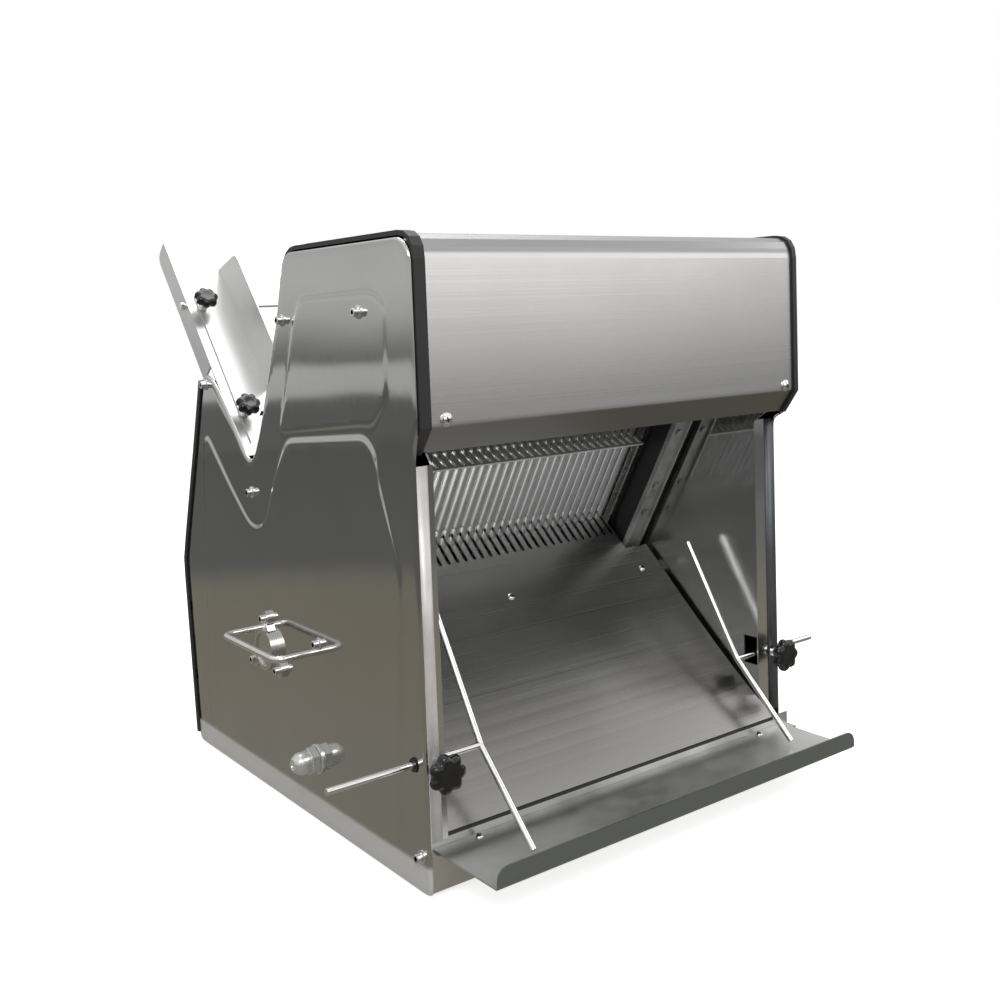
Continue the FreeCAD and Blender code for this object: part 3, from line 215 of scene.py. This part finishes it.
FINISH = {
    panel_steel: ["left_side_panel", "right_side_panel"],
    tray_steel: ["tray", "front_apron"],
    cover_steel: ["top_cover"],
    rear_steel: ["rear_cover", "head_rear_plate"],
    plate_steel: ["outfeed_plate"],
    wall_steel: ["left_inner_wall", "right_inner_wall"],
    chute_steel: ["infeed_chute", "infeed_guide_left", "infeed_guide_right"],
    blade_steel: ["blades_a", "blades_b"],
    comb_light: ["upper_comb"],
    bar_steel: ["outfeed_guide_left", "outfeed_guide_right", "handle_left", "handle_right",
                "chute_cross_rod", "crankshaft"],
    zinc: ["plate_screws", "tray_screws", "panel_screws", "cover_screws", "rod_clamp_left",
           "rod_clamp_right", "blade_frame_a", "blade_frame_b", "connecting_rod_a", "connecting_rod_b",
           "plate_cross_bar", "motor_mount", "flange_bearing_left", "flange_bearing_right"],
    strip_steel: ["guide_strips"],
    rubber: ["cover_trims", "rear_trims", "rubber_feet", "plate_edge_seal", "drive_belt"],
    black: ["outfeed_knob_left", "outfeed_knob_right", "infeed_knob_left_lower", "infeed_knob_left_upper",
            "infeed_knob_right_lower", "infeed_knob_right_upper", "rod_bushings", "switch_box",
            "contact_block"],
    guide_black_and_recess_shade: ["frame_guide_left", "frame_guide_right"],
    gland_grey: ["cable_gland"],
    green: ["start_button"],
    red: ["stop_button"],
    iron: ["driven_pulley", "motor_pulley"],
    paint: ["motor"],
    galvanised: ["base_pan"],
}
for mat, names in FINISH.items():
    for name in names:
        nodes[name].data.materials.clear()
        nodes[name].data.materials.append(mat)

EDGES = {
    0.0004: ["tray", "infeed_chute", "infeed_guide_left", "infeed_guide_right", "top_cover", "front_apron"],
    0.0011: ["cover_trims", "rear_trims"],
    0.0010: ["flange_bearing_left", "flange_bearing_right", "switch_box", "start_button", "stop_button",
             "frame_guide_left", "frame_guide_right", "rubber_feet"],
    0.0006: ["tray_screws", "plate_screws", "guide_strips", "rod_clamp_left", "rod_clamp_right"],
}
for width, names in EDGES.items():
    for name in names:
        mod = nodes[name].modifiers.new("edge", "BEVEL")
        mod.width = width
        mod.segments = 3 if width > 0.0005 else 2
        mod.limit_method = "ANGLE"
        mod.angle_limit = math.radians(35)


# Mesh helpers
def piece(name, mesh, mats, body, smooth=35):
    """Turns a bmesh into an object that rides on a body."""
    bmesh.ops.recalc_face_normals(mesh, faces=mesh.faces)
    data = bpy.data.meshes.new(name)
    mesh.to_mesh(data)
    mesh.free()
    for mat in mats:
        data.materials.append(mat)
    obj = bpy.data.objects.new(name, data)
    scene.collection.objects.link(obj)
    if smooth:
        data.shade_smooth()
        data.set_sharp_from_angle(angle=math.radians(smooth))
    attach(obj, body)
    return obj


def place(origin, axis, side=(1, 0, 0)):
    """A frame at a point whose local Z is the axis."""
    z = Vector(axis).normalized()
    x = Vector(side)
    x = (x - z * x.dot(z))
    if x.length < 0.01:
        x = Vector((0, 1, 0)) - z * z.y
    x.normalize()
    y = z.cross(x)
    return Matrix.Translation(Vector(origin)) @ Matrix((x, y, z)).transposed().to_4x4()


def rings(mesh, frame_at, profile, shape, count, mat=0):
    """Skins closed rings: profile gives height and radius, shape the radius factor by angle."""
    rows = []
    for height, radius in profile:
        row = []
        for i in range(count):
            a = 2 * math.pi * i / count
            r = radius * shape(a, radius)
            row.append(mesh.verts.new(frame_at @ Vector((r * math.cos(a), r * math.sin(a), height))))
        rows.append(row)
    for low, high in zip(rows[:-1], rows[1:]):
        for i in range(count):
            j = (i + 1) % count
            mesh.faces.new((low[i], low[j], high[j], high[i])).material_index = mat
    for row in (rows[0], rows[-1]):
        mesh.faces.new(row).material_index = mat


def round_shape(angle, radius):
    """A plain circle."""
    return 1.0


def hexagon(angle, radius):
    """A six-sided outline inside the circle of the given radius."""
    third = math.pi / 3
    return math.cos(third / 2) / math.cos(angle % third - third / 2)


def lobed(angle, radius):
    """Seven soft lobes that fade out towards the middle."""
    depth = 0.12 * min(1.0, radius / 0.012) ** 2
    return 1.0 - depth * (1 - math.cos(7 * angle)) / 2 * (1.15 - 0.3 * math.cos(7 * angle))


# Side panels: pressed skin with soft raised fields, a rolled rim and a front flange
half_width = 0.283
skin = 0.0015
rim = 0.004
front_y = -0.295
right_setback = 0.031
emboss_height = 0.0015
rod_z = 0.134
crank = (0.047, 0.185)
rod_y = {-1: -0.274, 1: -0.254}
gland_place = (-0.066, 0.080)
rod_hole, shaft_hole, gland_hole = 0.0062, 0.014, 0.0082
HEAD_CORNERS = [(Vector((-0.303, 0.659)), 0.026), (Vector((-0.036, 0.659)), 0.024)]

LOWER_FIELD = [(-244, 44), (-232, 34), (236, 34), (248, 46), (229, 346), (219, 428), (208, 436), (195, 425),
               (143, 378), (101, 344), (86, 334), (68, 331), (53, 335), (39, 346), (10, 399), (-20, 438),
               (-30, 445), (-206, 460), (-225, 446), (-232, 410), (-264, 330), (-264, 290)]
HEAD_FIELD = [(-77, 606), (-230, 609), (-257, 597), (-253, 500), (-222, 470), (-206, 472), (-8, 452),
              (-24, 489), (-57, 581)]


def panel_points(front):
    """The panel's edge in Y and Z, in millimetres."""
    return [(front, 2), (front, 437), (min(front, -283), 443), (-303, 474), (-303, 659), (-36, 659),
            (-11, 582), (0, 558), (14, 523), (37, 475), (49, 450), (65.6, 422.6), (81, 411), (98, 423),
            (126, 455), (179, 507), (205, 517.5), (217, 512), (221, 501), (252.5, 411), (297, 290),
            (307.5, 258), (307.5, 232), (295, 2)]


def resample(points, step):
    """A closed outline with points at even steps."""
    dense = []
    count = len(points)
    for i in range(count):
        a, b = Vector(points[i]), Vector(points[(i + 1) % count])
        steps = max(1, round((b - a).length / step))
        for k in range(steps):
            dense.append(a.lerp(b, k / steps))
    return dense


def ease(points, rounds):
    """Rounds a dense closed outline by averaging neighbours."""
    count = len(points)
    for _ in range(rounds):
        points = [(points[i - 1] + points[i] * 2 + points[(i + 1) % count]) / 4 for i in range(count)]
    return points


def shifted(points, distance):
    """A dense closed outline moved to its left."""
    count = len(points)
    moved = []
    for i in range(count):
        along = (points[(i + 1) % count] - points[i - 1]).normalized()
        moved.append(points[i] + Vector((-along.y, along.x)) * distance)
    return moved


def area(points):
    """Signed area of a closed outline."""
    return sum(a.x * b.y - b.x * a.y for a, b in zip(points, points[1:] + points[:1])) / 2


def inside_of(point, outline):
    """True where a point lies inside a closed outline."""
    found = False
    for a, b in zip(outline, outline[1:] + outline[:1]):
        if (a.y > point.y) != (b.y > point.y):
            if point.x < (b.x - a.x) * (point.y - a.y) / (b.y - a.y) + a.x:
                found = not found
    return found


def side_panel(name, side):
    """One pressed panel, in place of the CAD node of that name."""
    front = front_y + (right_setback if side > 0 else 0.0)
    outline = [Vector((y / 1000, z / 1000)) for y, z in panel_points(front * 1000)]
    edge = ease(resample(outline, 0.004), 6)
    # the head's two upper corners are rounder than the rest
    for corner, radius in HEAD_CORNERS:
        for i, p in enumerate(edge):
            away = (p - corner).length
            if away < radius * 1.6:
                centre = corner + Vector((radius if corner.x < -0.2 else -radius * 0.75, -radius))
                if (corner.x < -0.2 and p.x < centre.x and p.y > centre.y) or \
                        (corner.x > -0.2 and p.x > centre.x and p.y > centre.y):
                    edge[i] = centre + (p - centre).normalized() * radius
    if area(edge) < 0:
        edge.reverse()
    fields = []
    for field in (LOWER_FIELD, HEAD_FIELD):
        points = [Vector((max(y / 1000, front + 0.018), z / 1000)) for y, z in field]
        points = ease(resample(points, 0.003), 14)
        if area(points) < 0:
            points.reverse()
        fields.append(points)
    holes = [(Vector((rod_y[side], rod_z)), rod_hole), (Vector(crank), shaft_hole)]
    if side < 0:
        holes.append((Vector(gland_place), gland_hole))

    inner = shifted(edge, rim)
    verts = list(inner)
    count = len(inner)
    edges = [(i, (i + 1) % count) for i in range(count)]
    for centre, radius in holes:
        base = len(verts)
        for k in range(24):
            a = 2 * math.pi * k / 24
            verts.append(centre + Vector((math.cos(a), math.sin(a))) * radius)
        edges += [(base + k, base + (k + 1) % 24) for k in range(24)]
    slope = 0.0036
    for field in fields:
        for k in range(-3, 4):
            verts += shifted(field, slope * k / 3)
    near = [p for field in fields for p in field]
    cell = {}
    for p in near + inner:
        cell.setdefault((int(p.x / 0.006 + 1000), int(p.y / 0.006 + 1000)), []).append(p)
    grid = 0.006
    for i in range(-53, 54):
        for j in range(0, 112):
            p = Vector((i * grid, j * grid))
            key = (int(p.x / 0.006 + 1000), int(p.y / 0.006 + 1000))
            close = [q for dx in (-1, 0, 1) for dy in (-1, 0, 1)
                     for q in cell.get((key[0] + dx, key[1] + dy), ())]
            if any((p - q).length < 0.0052 for q in close):
                continue
            if any((p - centre).length < radius + 0.002 for centre, radius in holes):
                continue
            if inside_of(p, inner):
                verts.append(p)
    verts = [v for i, v in enumerate(verts) if i < count or inside_of(v, inner) or
             any((v - c).length < r + 0.0005 for c, r in holes)]
    made = delaunay_2d_cdt(verts, edges, [], 0, 0.00001)
    points, faces = made[0], made[2]

    boxes = [(min(p.x for p in f) - slope, max(p.x for p in f) + slope, min(p.y for p in f) - slope,
              max(p.y for p in f) + slope) for f in fields]
    lookup = []
    for field in fields:
        table = {}
        for k, p in enumerate(field):
            table.setdefault((int(p.x / 0.008 + 1000), int(p.y / 0.008 + 1000)), []).append(k)
        lookup.append(table)

    def raised(p):
        """How far the pressed skin stands out at a point."""
        best = 0.0
        for field, table, (x0, x1, y0, y1) in zip(fields, lookup, boxes):
            if not (x0 < p.x < x1 and y0 < p.y < y1):
                continue
            key = (int(p.x / 0.008 + 1000), int(p.y / 0.008 + 1000))
            close = [k for dx in (-1, 0, 1) for dy in (-1, 0, 1)
                     for k in table.get((key[0] + dx, key[1] + dy), ())]
            far = 1.0
            for k in close:
                a, b = field[k], field[(k + 1) % len(field)]
                run = b - a
                t = max(0.0, min(1.0, (p - a).dot(run) / run.length_squared))
                far = min(far, (p - a - run * t).length)
            reach = -far if not inside_of(p, field) else far
            t = max(0.0, min(1.0, (reach / slope + 1) / 2))
            best = max(best, t * t * (3 - 2 * t))
        return best * emboss_height

    mesh = bmesh.new()
    flat = {}
    for i, p in enumerate(points):
        flat[i] = mesh.verts.new((side * (half_width + raised(p)), p.x, p.y))
    for face in faces:
        centre = sum((points[i] for i in face), Vector((0, 0))) / len(face)
        if not inside_of(centre, inner):
            continue
        if any((centre - c).length < r * 0.98 for c, r in holes):
            continue
        mesh.faces.new([flat[i] for i in face])
    # the rolled rim: rings from the flat skin round to the edge
    source = {old: new for new, olds in enumerate(made[3]) for old in olds}
    rows = [[flat[source[i]] for i in range(count)]]
    turns = 6
    for k in range(1, turns + 1):
        a = math.pi / 2 * k / turns
        ring = shifted(edge, rim * (1 - math.sin(a)))
        x = side * (half_width - rim * (1 - math.cos(a)))
        rows.append([mesh.verts.new((x, p.x, p.y)) for p in ring])
    for low, high in zip(rows[:-1], rows[1:]):
        for i in range(count):
            j = (i + 1) % count
            mesh.faces.new((low[i], low[j], high[j], high[i]))
    # the front flange with a small return
    flange = [(half_width - rim, front), (0.268, front), (0.2655, front + 0.0006), (0.265, front + 0.003),
              (0.265, front + 0.006)]
    rows = []
    for z in (0.058, 0.436):
        rows.append([mesh.verts.new((side * x, y, z)) for x, y in flange])
    for i in range(len(flange) - 1):
        face = mesh.faces.new((rows[0][i], rows[0][i + 1], rows[1][i + 1], rows[1][i]))
        face.material_index = 1
    bmesh.ops.remove_doubles(mesh, verts=mesh.verts, dist=0.00002)
    # the right flange gets the painted-shade copy of the flange steel
    flange_steel_or_painted_shade = flange_steel if side < 0 else flange_painted_shade
    obj = piece(name + "_pressed", mesh, [panel_steel, flange_steel_or_painted_shade], "machine", 60)
    solid = obj.modifiers.new("sheet", "SOLIDIFY")
    solid.thickness = skin
    solid.offset = -1.0
    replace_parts(obj, name)
    return obj


side_panel("left_side_panel", -1)
side_panel("right_side_panel", 1)


# Star knobs, each in place of its CAD node: lobed glossy head, plated ferrule and stud
def star_knob(name, body, where, axis, radius, foot, length):
    """A star knob whose ferrule starts at a point and whose head stands off along the axis."""
    at = place(where, axis)
    mesh = bmesh.new()
    head = [(foot, 0.50), (foot + 0.0006, 0.80), (foot + 0.0022, 0.95), (foot + 0.0050, 1.0),
            (foot + 0.0085, 0.985), (foot + 0.0110, 0.90), (foot + 0.0126, 0.74), (foot + 0.0130, 0.55),
            (foot + 0.0126, 0.36), (foot + 0.0121, 0.12)]
    rings(mesh, at, [(h, r * radius) for h, r in head], lobed, 112, 0)
    ferrule = [(0.0003, 0.0052), (0.0010, 0.0064), (foot * 0.55, 0.0064), (foot * 0.6, 0.0058),
               (foot + 0.001, 0.0058)]
    rings(mesh, at, ferrule, round_shape, 32, 1)
    rings(mesh, at, [(-length, 0.0024), (0.001, 0.0030)], round_shape, 20, 1)
    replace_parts(piece(name + "_star", mesh, [black, bright], body, 40), name)


knob_x = 0.2705
outfeed_radius, outfeed_foot = 0.021, 0.0143
for side, hand, flange_y, stud in ((-1, "left", front_y, 0.017),
                                   (1, "right", front_y + right_setback, 0.006)):
    star_knob("outfeed_knob_" + hand, "outfeed_%s_knob" % hand, (side * knob_x, flange_y, rod_z), (0, -1, 0),
              outfeed_radius, outfeed_foot, stud)
CHUTE_FOOT = Vector((0, 0.105, 0.411))
chute_slope = math.radians(50)
chute_up = Vector((0, math.cos(chute_slope), math.sin(chute_slope)))
chute_out = Vector((0, -chute_up.z, chute_up.y))
infeed_radius, infeed_foot, infeed_stud = 0.016, 0.0140, 0.0103
for side, hand in ((-1, "left"), (1, "right")):
    for level, height in ((0.069, "lower"), (0.250, "upper")):
        where = CHUTE_FOOT + Vector((side * 0.257, 0, 0)) + chute_up * level + chute_out * 0.0023
        name = "infeed_knob_%s_%s" % (hand, height)
        star_knob(name, "infeed_%s_%s_knob" % (hand, height), where, chute_out, infeed_radius, infeed_foot,
                  infeed_stud)


# Screws: cap screws with a flat dark hexagon on the head, domed screws with flat dark bars in a cross; the
# dark marks are painted shade of their recesses
def washer_disc(mesh, at, radius, thickness):
    """A washer, where a radius is given; returns how high the head sits on it."""
    if not radius:
        return 0.0
    rings(mesh, at, [(0.0, radius), (thickness - 0.0002, radius), (thickness, radius - 0.0003)],
          round_shape, 32, 0)
    return thickness


def socket_screw(mesh, where, axis, washer, head, height):
    """A cap screw on its washer, with a flat dark hexagon on its top as painted shade of its recess."""
    at = place(where, axis)
    base = washer_disc(mesh, at, washer, 0.0012)
    top = base + height
    rings(mesh, at, [(base, head * 0.94), (base + 0.0004, head), (top - 0.0005, head),
                     (top, head - 0.0006), (top, head * 0.60)], round_shape, 32, 0)
    # a flat dark hexagon just above the head: painted shade of the socket recess
    rings(mesh, at, [(top + 0.00002, head * 0.60), (top + 0.00002, head * 0.55)], hexagon, 36, 1)


def pan_screw(mesh, where, axis, radius, height, washer=0.0):
    """A domed screw with flat dark bars in a cross on its top as painted shade of its recess, on a thin
    washer where one is given.
    """
    at = place(where, axis, (1, 0, 0.3))
    base = washer_disc(mesh, at, washer, 0.0010)
    dome = [(base, radius), (base + height * 0.35, radius * 0.98), (base + height * 0.7, radius * 0.86),
            (base + height * 0.92, radius * 0.62), (base + height, radius * 0.30)]
    rings(mesh, at, dome, round_shape, 32, 0)
    # two dark bars in a cross on the dome: painted shade of the cross recess
    for angle in (0.0, math.pi / 2):
        spin = at @ Matrix.Rotation(angle, 4, "Z") @ Matrix.Translation((0, 0, base + height * 0.98))
        x, y, z = radius * 0.58, radius * 0.13, radius * 0.10
        corners = [mesh.verts.new(spin @ Vector((sx * x, sy * y, sz * z)))
                   for sz in (-1, 1) for sx, sy in ((-1, -1), (1, -1), (1, 1), (-1, 1))]
        for ring in ((0, 1, 2, 3), (4, 5, 6, 7), (0, 1, 5, 4), (1, 2, 6, 5), (2, 3, 7, 6), (3, 0, 4, 7)):
            mesh.faces.new([corners[k] for k in ring]).material_index = 1


PANEL_SCREWS = [(-0.0295, 0.583, 0), (-0.2075, 0.588, 1), (0.0775, 0.374, 0), (0.203, 0.503, 0),
                (-0.2817, 0.0415, 0), (-0.083, 0.218, 1)]
cap_radius = 0.0048
bearing_bolts, bearing_flange = 0.038, 0.005
mesh = bmesh.new()
for side in (-1, 1):
    for y, z, on_field in PANEL_SCREWS:
        if side > 0 and y < front_y + right_setback + 0.010:
            continue
        face = half_width + on_field * emboss_height
        socket_screw(mesh, (side * face, y, z), (side, 0, 0), 0.0072, cap_radius, 0.0066)
    for angle in (90, 210, 330):
        y = crank[0] + bearing_bolts * math.cos(math.radians(angle))
        z = crank[1] + bearing_bolts * math.sin(math.radians(angle))
        flange_x = half_width + emboss_height + bearing_flange
        socket_screw(mesh, (side * flange_x, y, z), (side, 0, 0), 0.0, cap_radius, 0.0062)
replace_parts(piece("panel_screws_cap", mesh, [bright, guide_black_and_recess_shade], "machine", 35), "panel_screws")


def pan_screws(places, axis, radius, height, washer=0.0):
    """One mesh with a domed screw at each of the places."""
    mesh = bmesh.new()
    for where in places:
        pan_screw(mesh, where, axis, radius, height, washer)
    return mesh


mesh = pan_screws([(x, -0.303, 0.480) for x in (-0.247, 0.257)], (0, -1, 0), 0.0046, 0.0028, 0.0070)
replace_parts(piece("cover_screws_pan", mesh, [bright, guide_black_and_recess_shade], "machine", 35), "cover_screws")
mesh = pan_screws([(x, -0.286, 0.044) for x in (-0.216, 0.216)], (0, 0, 1), 0.0048, 0.0020)
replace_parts(piece("tray_screws_pan", mesh, [bright, guide_black_and_recess_shade], "machine", 35), "tray_screws")
# the outfeed plate rises from its front edge to its rear edge; its screws stand square on it
plate_front, plate_rear = (-0.215, 0.116), (-0.0063, 0.3057)
plate_lean = math.atan2(plate_rear[1] - plate_front[1], plate_rear[0] - plate_front[0])
plate_up = Vector((0, -math.sin(plate_lean), math.cos(plate_lean)))
screw_y = -0.093
screw_z = plate_front[1] + (screw_y - plate_front[0]) * math.tan(plate_lean)
mesh = pan_screws([(x, screw_y, screw_z) for x in (-0.019, 0.206)], plate_up, 0.0045, 0.0024)
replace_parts(piece("plate_screws_pan", mesh, [bright, guide_black_and_recess_shade], "machine", 35), "plate_screws")

# Cable gland: flange, hexagon, dome and open tip
gland = place((-half_width - emboss_height, *gland_place), (-1, 0, 0), (0, 0, 1))
mesh = bmesh.new()
rings(mesh, gland, [(0.0, 0.0170), (0.0022, 0.0170), (0.0030, 0.0160)], round_shape, 48, 0)
rings(mesh, gland, [(0.0030, 0.0150), (0.0036, 0.0162), (0.0122, 0.0162), (0.0130, 0.0150)], hexagon, 48, 0)
rings(mesh, gland, [(0.0130, 0.0125), (0.0150, 0.0128), (0.0230, 0.0128), (0.0262, 0.0118),
                    (0.0290, 0.0096), (0.0312, 0.0082), (0.0320, 0.0070), (0.0316, 0.0050),
                    (0.0290, 0.0042)], round_shape, 48, 0)
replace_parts(piece("cable_gland_nut", mesh, [gland_grey, guide_black_and_recess_shade], "machine", 30), "cable_gland")

# Blades: fine scallops ground bright along both edges of a duller strip
crank_at = Vector((0, *crank))
pack_tilt = math.radians(31)
pack_along = Vector((0, -math.sin(pack_tilt), math.cos(pack_tilt)))
pack_forward = Vector((0, math.cos(pack_tilt), math.sin(pack_tilt)))
pack_low, pack_high = 0.076, 0.330
blade_count, blade_pitch = 31, 0.013
blade_half, blade_width = 0.0004, 0.0128
strip_half = 0.0036
edge_share = 0.12
scallop, scallop_depth = 0.0046, 0.0014
frame_offset = 0.009
straight_end, bend_run = 0.022, 0.014


def blade_lean(along, offset):
    """How far a blade stands off the middle plane: all the way at its ends, nothing between the combs."""
    end = min(along - pack_low, pack_high - along)
    end = max(0.0, min(1.0, (end - straight_end) / bend_run))
    return offset * (1 - end * end * (3 - 2 * end))


def blade(mesh, x, offset):
    """One scalloped blade, thin at both cutting edges."""
    steps = int((pack_high - pack_low) / scallop * 4)
    rows = []
    for k in range(steps + 1):
        along = pack_low + (pack_high - pack_low) * k / steps
        wave = abs(math.sin(math.pi * along / scallop))
        edge = blade_width / 2 - scallop_depth * (1 - wave)
        row = []
        for across, thick in ((-edge, edge_share), (-strip_half, 1.0), (strip_half, 1.0), (edge, edge_share)):
            reach = blade_lean(along, offset) + across
            middle = crank_at + pack_along * along + pack_forward * reach
            row.append([mesh.verts.new(middle + Vector((x + s * blade_half * thick, 0, 0)))
                        for s in (-1, 1)])
        rows.append(row)
    for low, high in zip(rows[:-1], rows[1:]):
        for j in range(3):
            for s in (0, 1):
                face = mesh.faces.new((low[j][s], low[j + 1][s], high[j + 1][s], high[j][s]))
                face.material_index = 0 if j == 1 else 1
        for j in (0, 3):
            mesh.faces.new((low[j][0], low[j][1], high[j][1], high[j][0])).material_index = 1
    for row in (rows[0], rows[-1]):
        mesh.faces.new([row[j][0] for j in range(4)] + [row[j][1] for j in (3, 2, 1, 0)])


for label, offset, first in (("a", -frame_offset, 0), ("b", frame_offset, 1)):
    mesh = bmesh.new()
    for i in range(first, blade_count, 2):
        blade(mesh, (i - blade_count // 2) * blade_pitch, offset)
    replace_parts(piece("blades_%s_ground" % label, mesh, [blade_steel, bright], "cutter_" + label, 20),
                "blades_" + label)


# Floor: white to the eye and in reflections, with the object's own soft shadow
floor_mesh = bpy.data.meshes.new("floor")
floor_mesh.from_pydata([(-9, -9, 0), (9, -9, 0), (9, 9, 0), (-9, 9, 0)], [], [(0, 1, 2, 3)])
floor = bpy.data.objects.new("floor", floor_mesh)
scene.collection.objects.link(floor)
floor_mat, tree, shader = material("floor")
shader.inputs["Base Color"].default_value = (0.80, 0.80, 0.80, 1)
shader.inputs["Roughness"].default_value = 1.0
shader.inputs["Specular IOR Level"].default_value = 0.0


def seen(tree):
    """One where a ray comes from the eye, a mirror or a glass."""
    rays = tree.nodes.new("ShaderNodeLightPath")
    total = rays.outputs["Is Camera Ray"]
    for name in ("Is Glossy Ray", "Is Transmission Ray"):
        node = tree.nodes.new("ShaderNodeMath")
        node.operation = "MAXIMUM"
        tree.links.new(total, node.inputs[0])
        tree.links.new(rays.outputs[name], node.inputs[1])
        total = node.outputs[0]
    return total


lift = tree.nodes.new("ShaderNodeMath")
lift.operation = "MULTIPLY"
lift.inputs[1].default_value = 0.75
tree.links.new(seen(tree), lift.inputs[0])
shader.inputs["Emission Color"].default_value = (1, 1, 1, 1)
tree.links.new(lift.outputs[0], shader.inputs["Emission Strength"])
floor_mesh.materials.append(floor_mat)

world = bpy.data.worlds.new("world")
scene.world = world
world.use_nodes = True
tree = world.node_tree
background = tree.nodes["Background"]
pick = tree.nodes.new("ShaderNodeMix")
pick.data_type = "RGBA"
tree.links.new(seen(tree), pick.inputs["Factor"])
pick.inputs["A"].default_value = (0.50, 0.505, 0.51, 1)
pick.inputs["B"].default_value = (1, 1, 1, 1)
tree.links.new(pick.outputs["Result"], background.inputs["Color"])


# Studio cards: grey surfaces round the object that only polished metal shows
def card_material(name, stops, axis):
    """A graded grey card; stops give metres along the axis and a colour."""
    mat = bpy.data.materials.new(name)
    mat.use_nodes = True
    tree = mat.node_tree
    tree.nodes.remove(tree.nodes["Principled BSDF"])
    glow = tree.nodes.new("ShaderNodeEmission")
    coords = tree.nodes.new("ShaderNodeTexCoord")
    ramp = tree.nodes.new("ShaderNodeValToRGB")
    reach = stops[-1][0]
    if axis == "height":
        split = tree.nodes.new("ShaderNodeSeparateXYZ")
        tree.links.new(coords.outputs["Object"], split.inputs["Vector"])
        value = split.outputs["Z"]
    else:
        split = tree.nodes.new("ShaderNodeVectorMath")
        split.operation = "LENGTH"
        tree.links.new(coords.outputs["Object"], split.inputs[0])
        value = split.outputs["Value"]
    tree.links.new(spread(tree, value, 0.0, 1.0, 0.0, reach), ramp.inputs["Fac"])
    elements = ramp.color_ramp.elements
    while len(elements) < len(stops):
        elements.new(0.5)
    for element, (where, colour) in zip(elements, stops):
        element.position = where / reach
        element.color = (*colour, 1) if isinstance(colour, tuple) else (colour, colour, colour, 1)
    tree.links.new(ramp.outputs["Color"], glow.inputs["Color"])
    tree.links.new(glow.outputs["Emission"], tree.nodes["Material Output"].inputs["Surface"])
    return mat


def card(name, verts, faces, mat):
    """A stage surface that only glossy rays see."""
    data = bpy.data.meshes.new(name)
    data.from_pydata(verts, [], faces)
    data.materials.append(mat)
    obj = bpy.data.objects.new(name, data)
    scene.collection.objects.link(obj)
    obj.visible_camera = False
    obj.visible_diffuse = False
    obj.visible_shadow = False
    obj.visible_transmission = False


def curved_card(name, start, end, radius, top, stops):
    """An upright card that bends round the object between two bearings."""
    steps = 24
    verts, faces = [], []
    for i in range(steps + 1):
        a = math.radians(start + (end - start) * i / steps)
        verts += [(radius * math.cos(a), radius * math.sin(a), z) for z in (0.0, top)]
        if i:
            k = 2 * i
            faces.append((k - 2, k, k + 1, k - 1))
    card(name, verts, faces, card_material(name, stops, "height"))


card_reach, card_top = 4.2, 3.0
SIDE_STOPS = [(0.0, 0.17), (0.22, 0.16), (0.235, 0.62), (0.37, 0.66), (0.385, 0.18), (0.60, 0.62),
              (0.75, 0.72), (1.4, 0.62), (card_top, 0.8)]
FRONT_STOPS = [(0.0, 0.20), (0.3, 0.34), (0.55, 0.62), (1.0, 0.75), (card_top, 0.9)]
curved_card("side_card", -10, 250, card_reach, card_top, SIDE_STOPS)
curved_card("front_card", -110, -10, card_reach, card_top, FRONT_STOPS)
FLOOR_STOPS = [(0.0, (0.30, 0.285, 0.25)), (0.9, (0.27, 0.25, 0.20)), (1.35, (0.26, 0.245, 0.20)),
               (1.6, 0.16), (card_reach, 0.14)]
floor_gap = 0.0005
corners = 48
angles = [2 * math.pi * i / corners for i in range(corners)]
circle = [(card_reach * math.cos(a), card_reach * math.sin(a), floor_gap) for a in angles]
card("floor_card", circle, [tuple(range(corners))], card_material("floor_card", FLOOR_STOPS, "reach"))


def lamp(name, where, target, size_xy, power):
    """A soft rectangular lamp that looks at a point."""
    data = bpy.data.lights.new(name, "AREA")
    data.shape = "RECTANGLE"
    data.size, data.size_y = size_xy
    data.energy = power
    obj = bpy.data.objects.new(name, data)
    scene.collection.objects.link(obj)
    obj.location = where
    obj.rotation_euler = (Vector(target) - Vector(where)).to_track_quat("-Z", "Y").to_euler()


lamp("key", (-1.6, -2.6, 2.6), (0, 0, 0.3), (1.8, 1.2), 40)
lamp("top", (0.3, 0.4, 2.8), (0, 0, 0.3), (2.2, 1.6), 40)
lamp("right_fill", (1.45, -2.7, 1.0), (0, 0, 0.35), (1.8, 1.0), 4)
lamp("side_fill", (2.8, -1.2, 1.6), (0, 0, 0.3), (1.2, 1.6), 12)
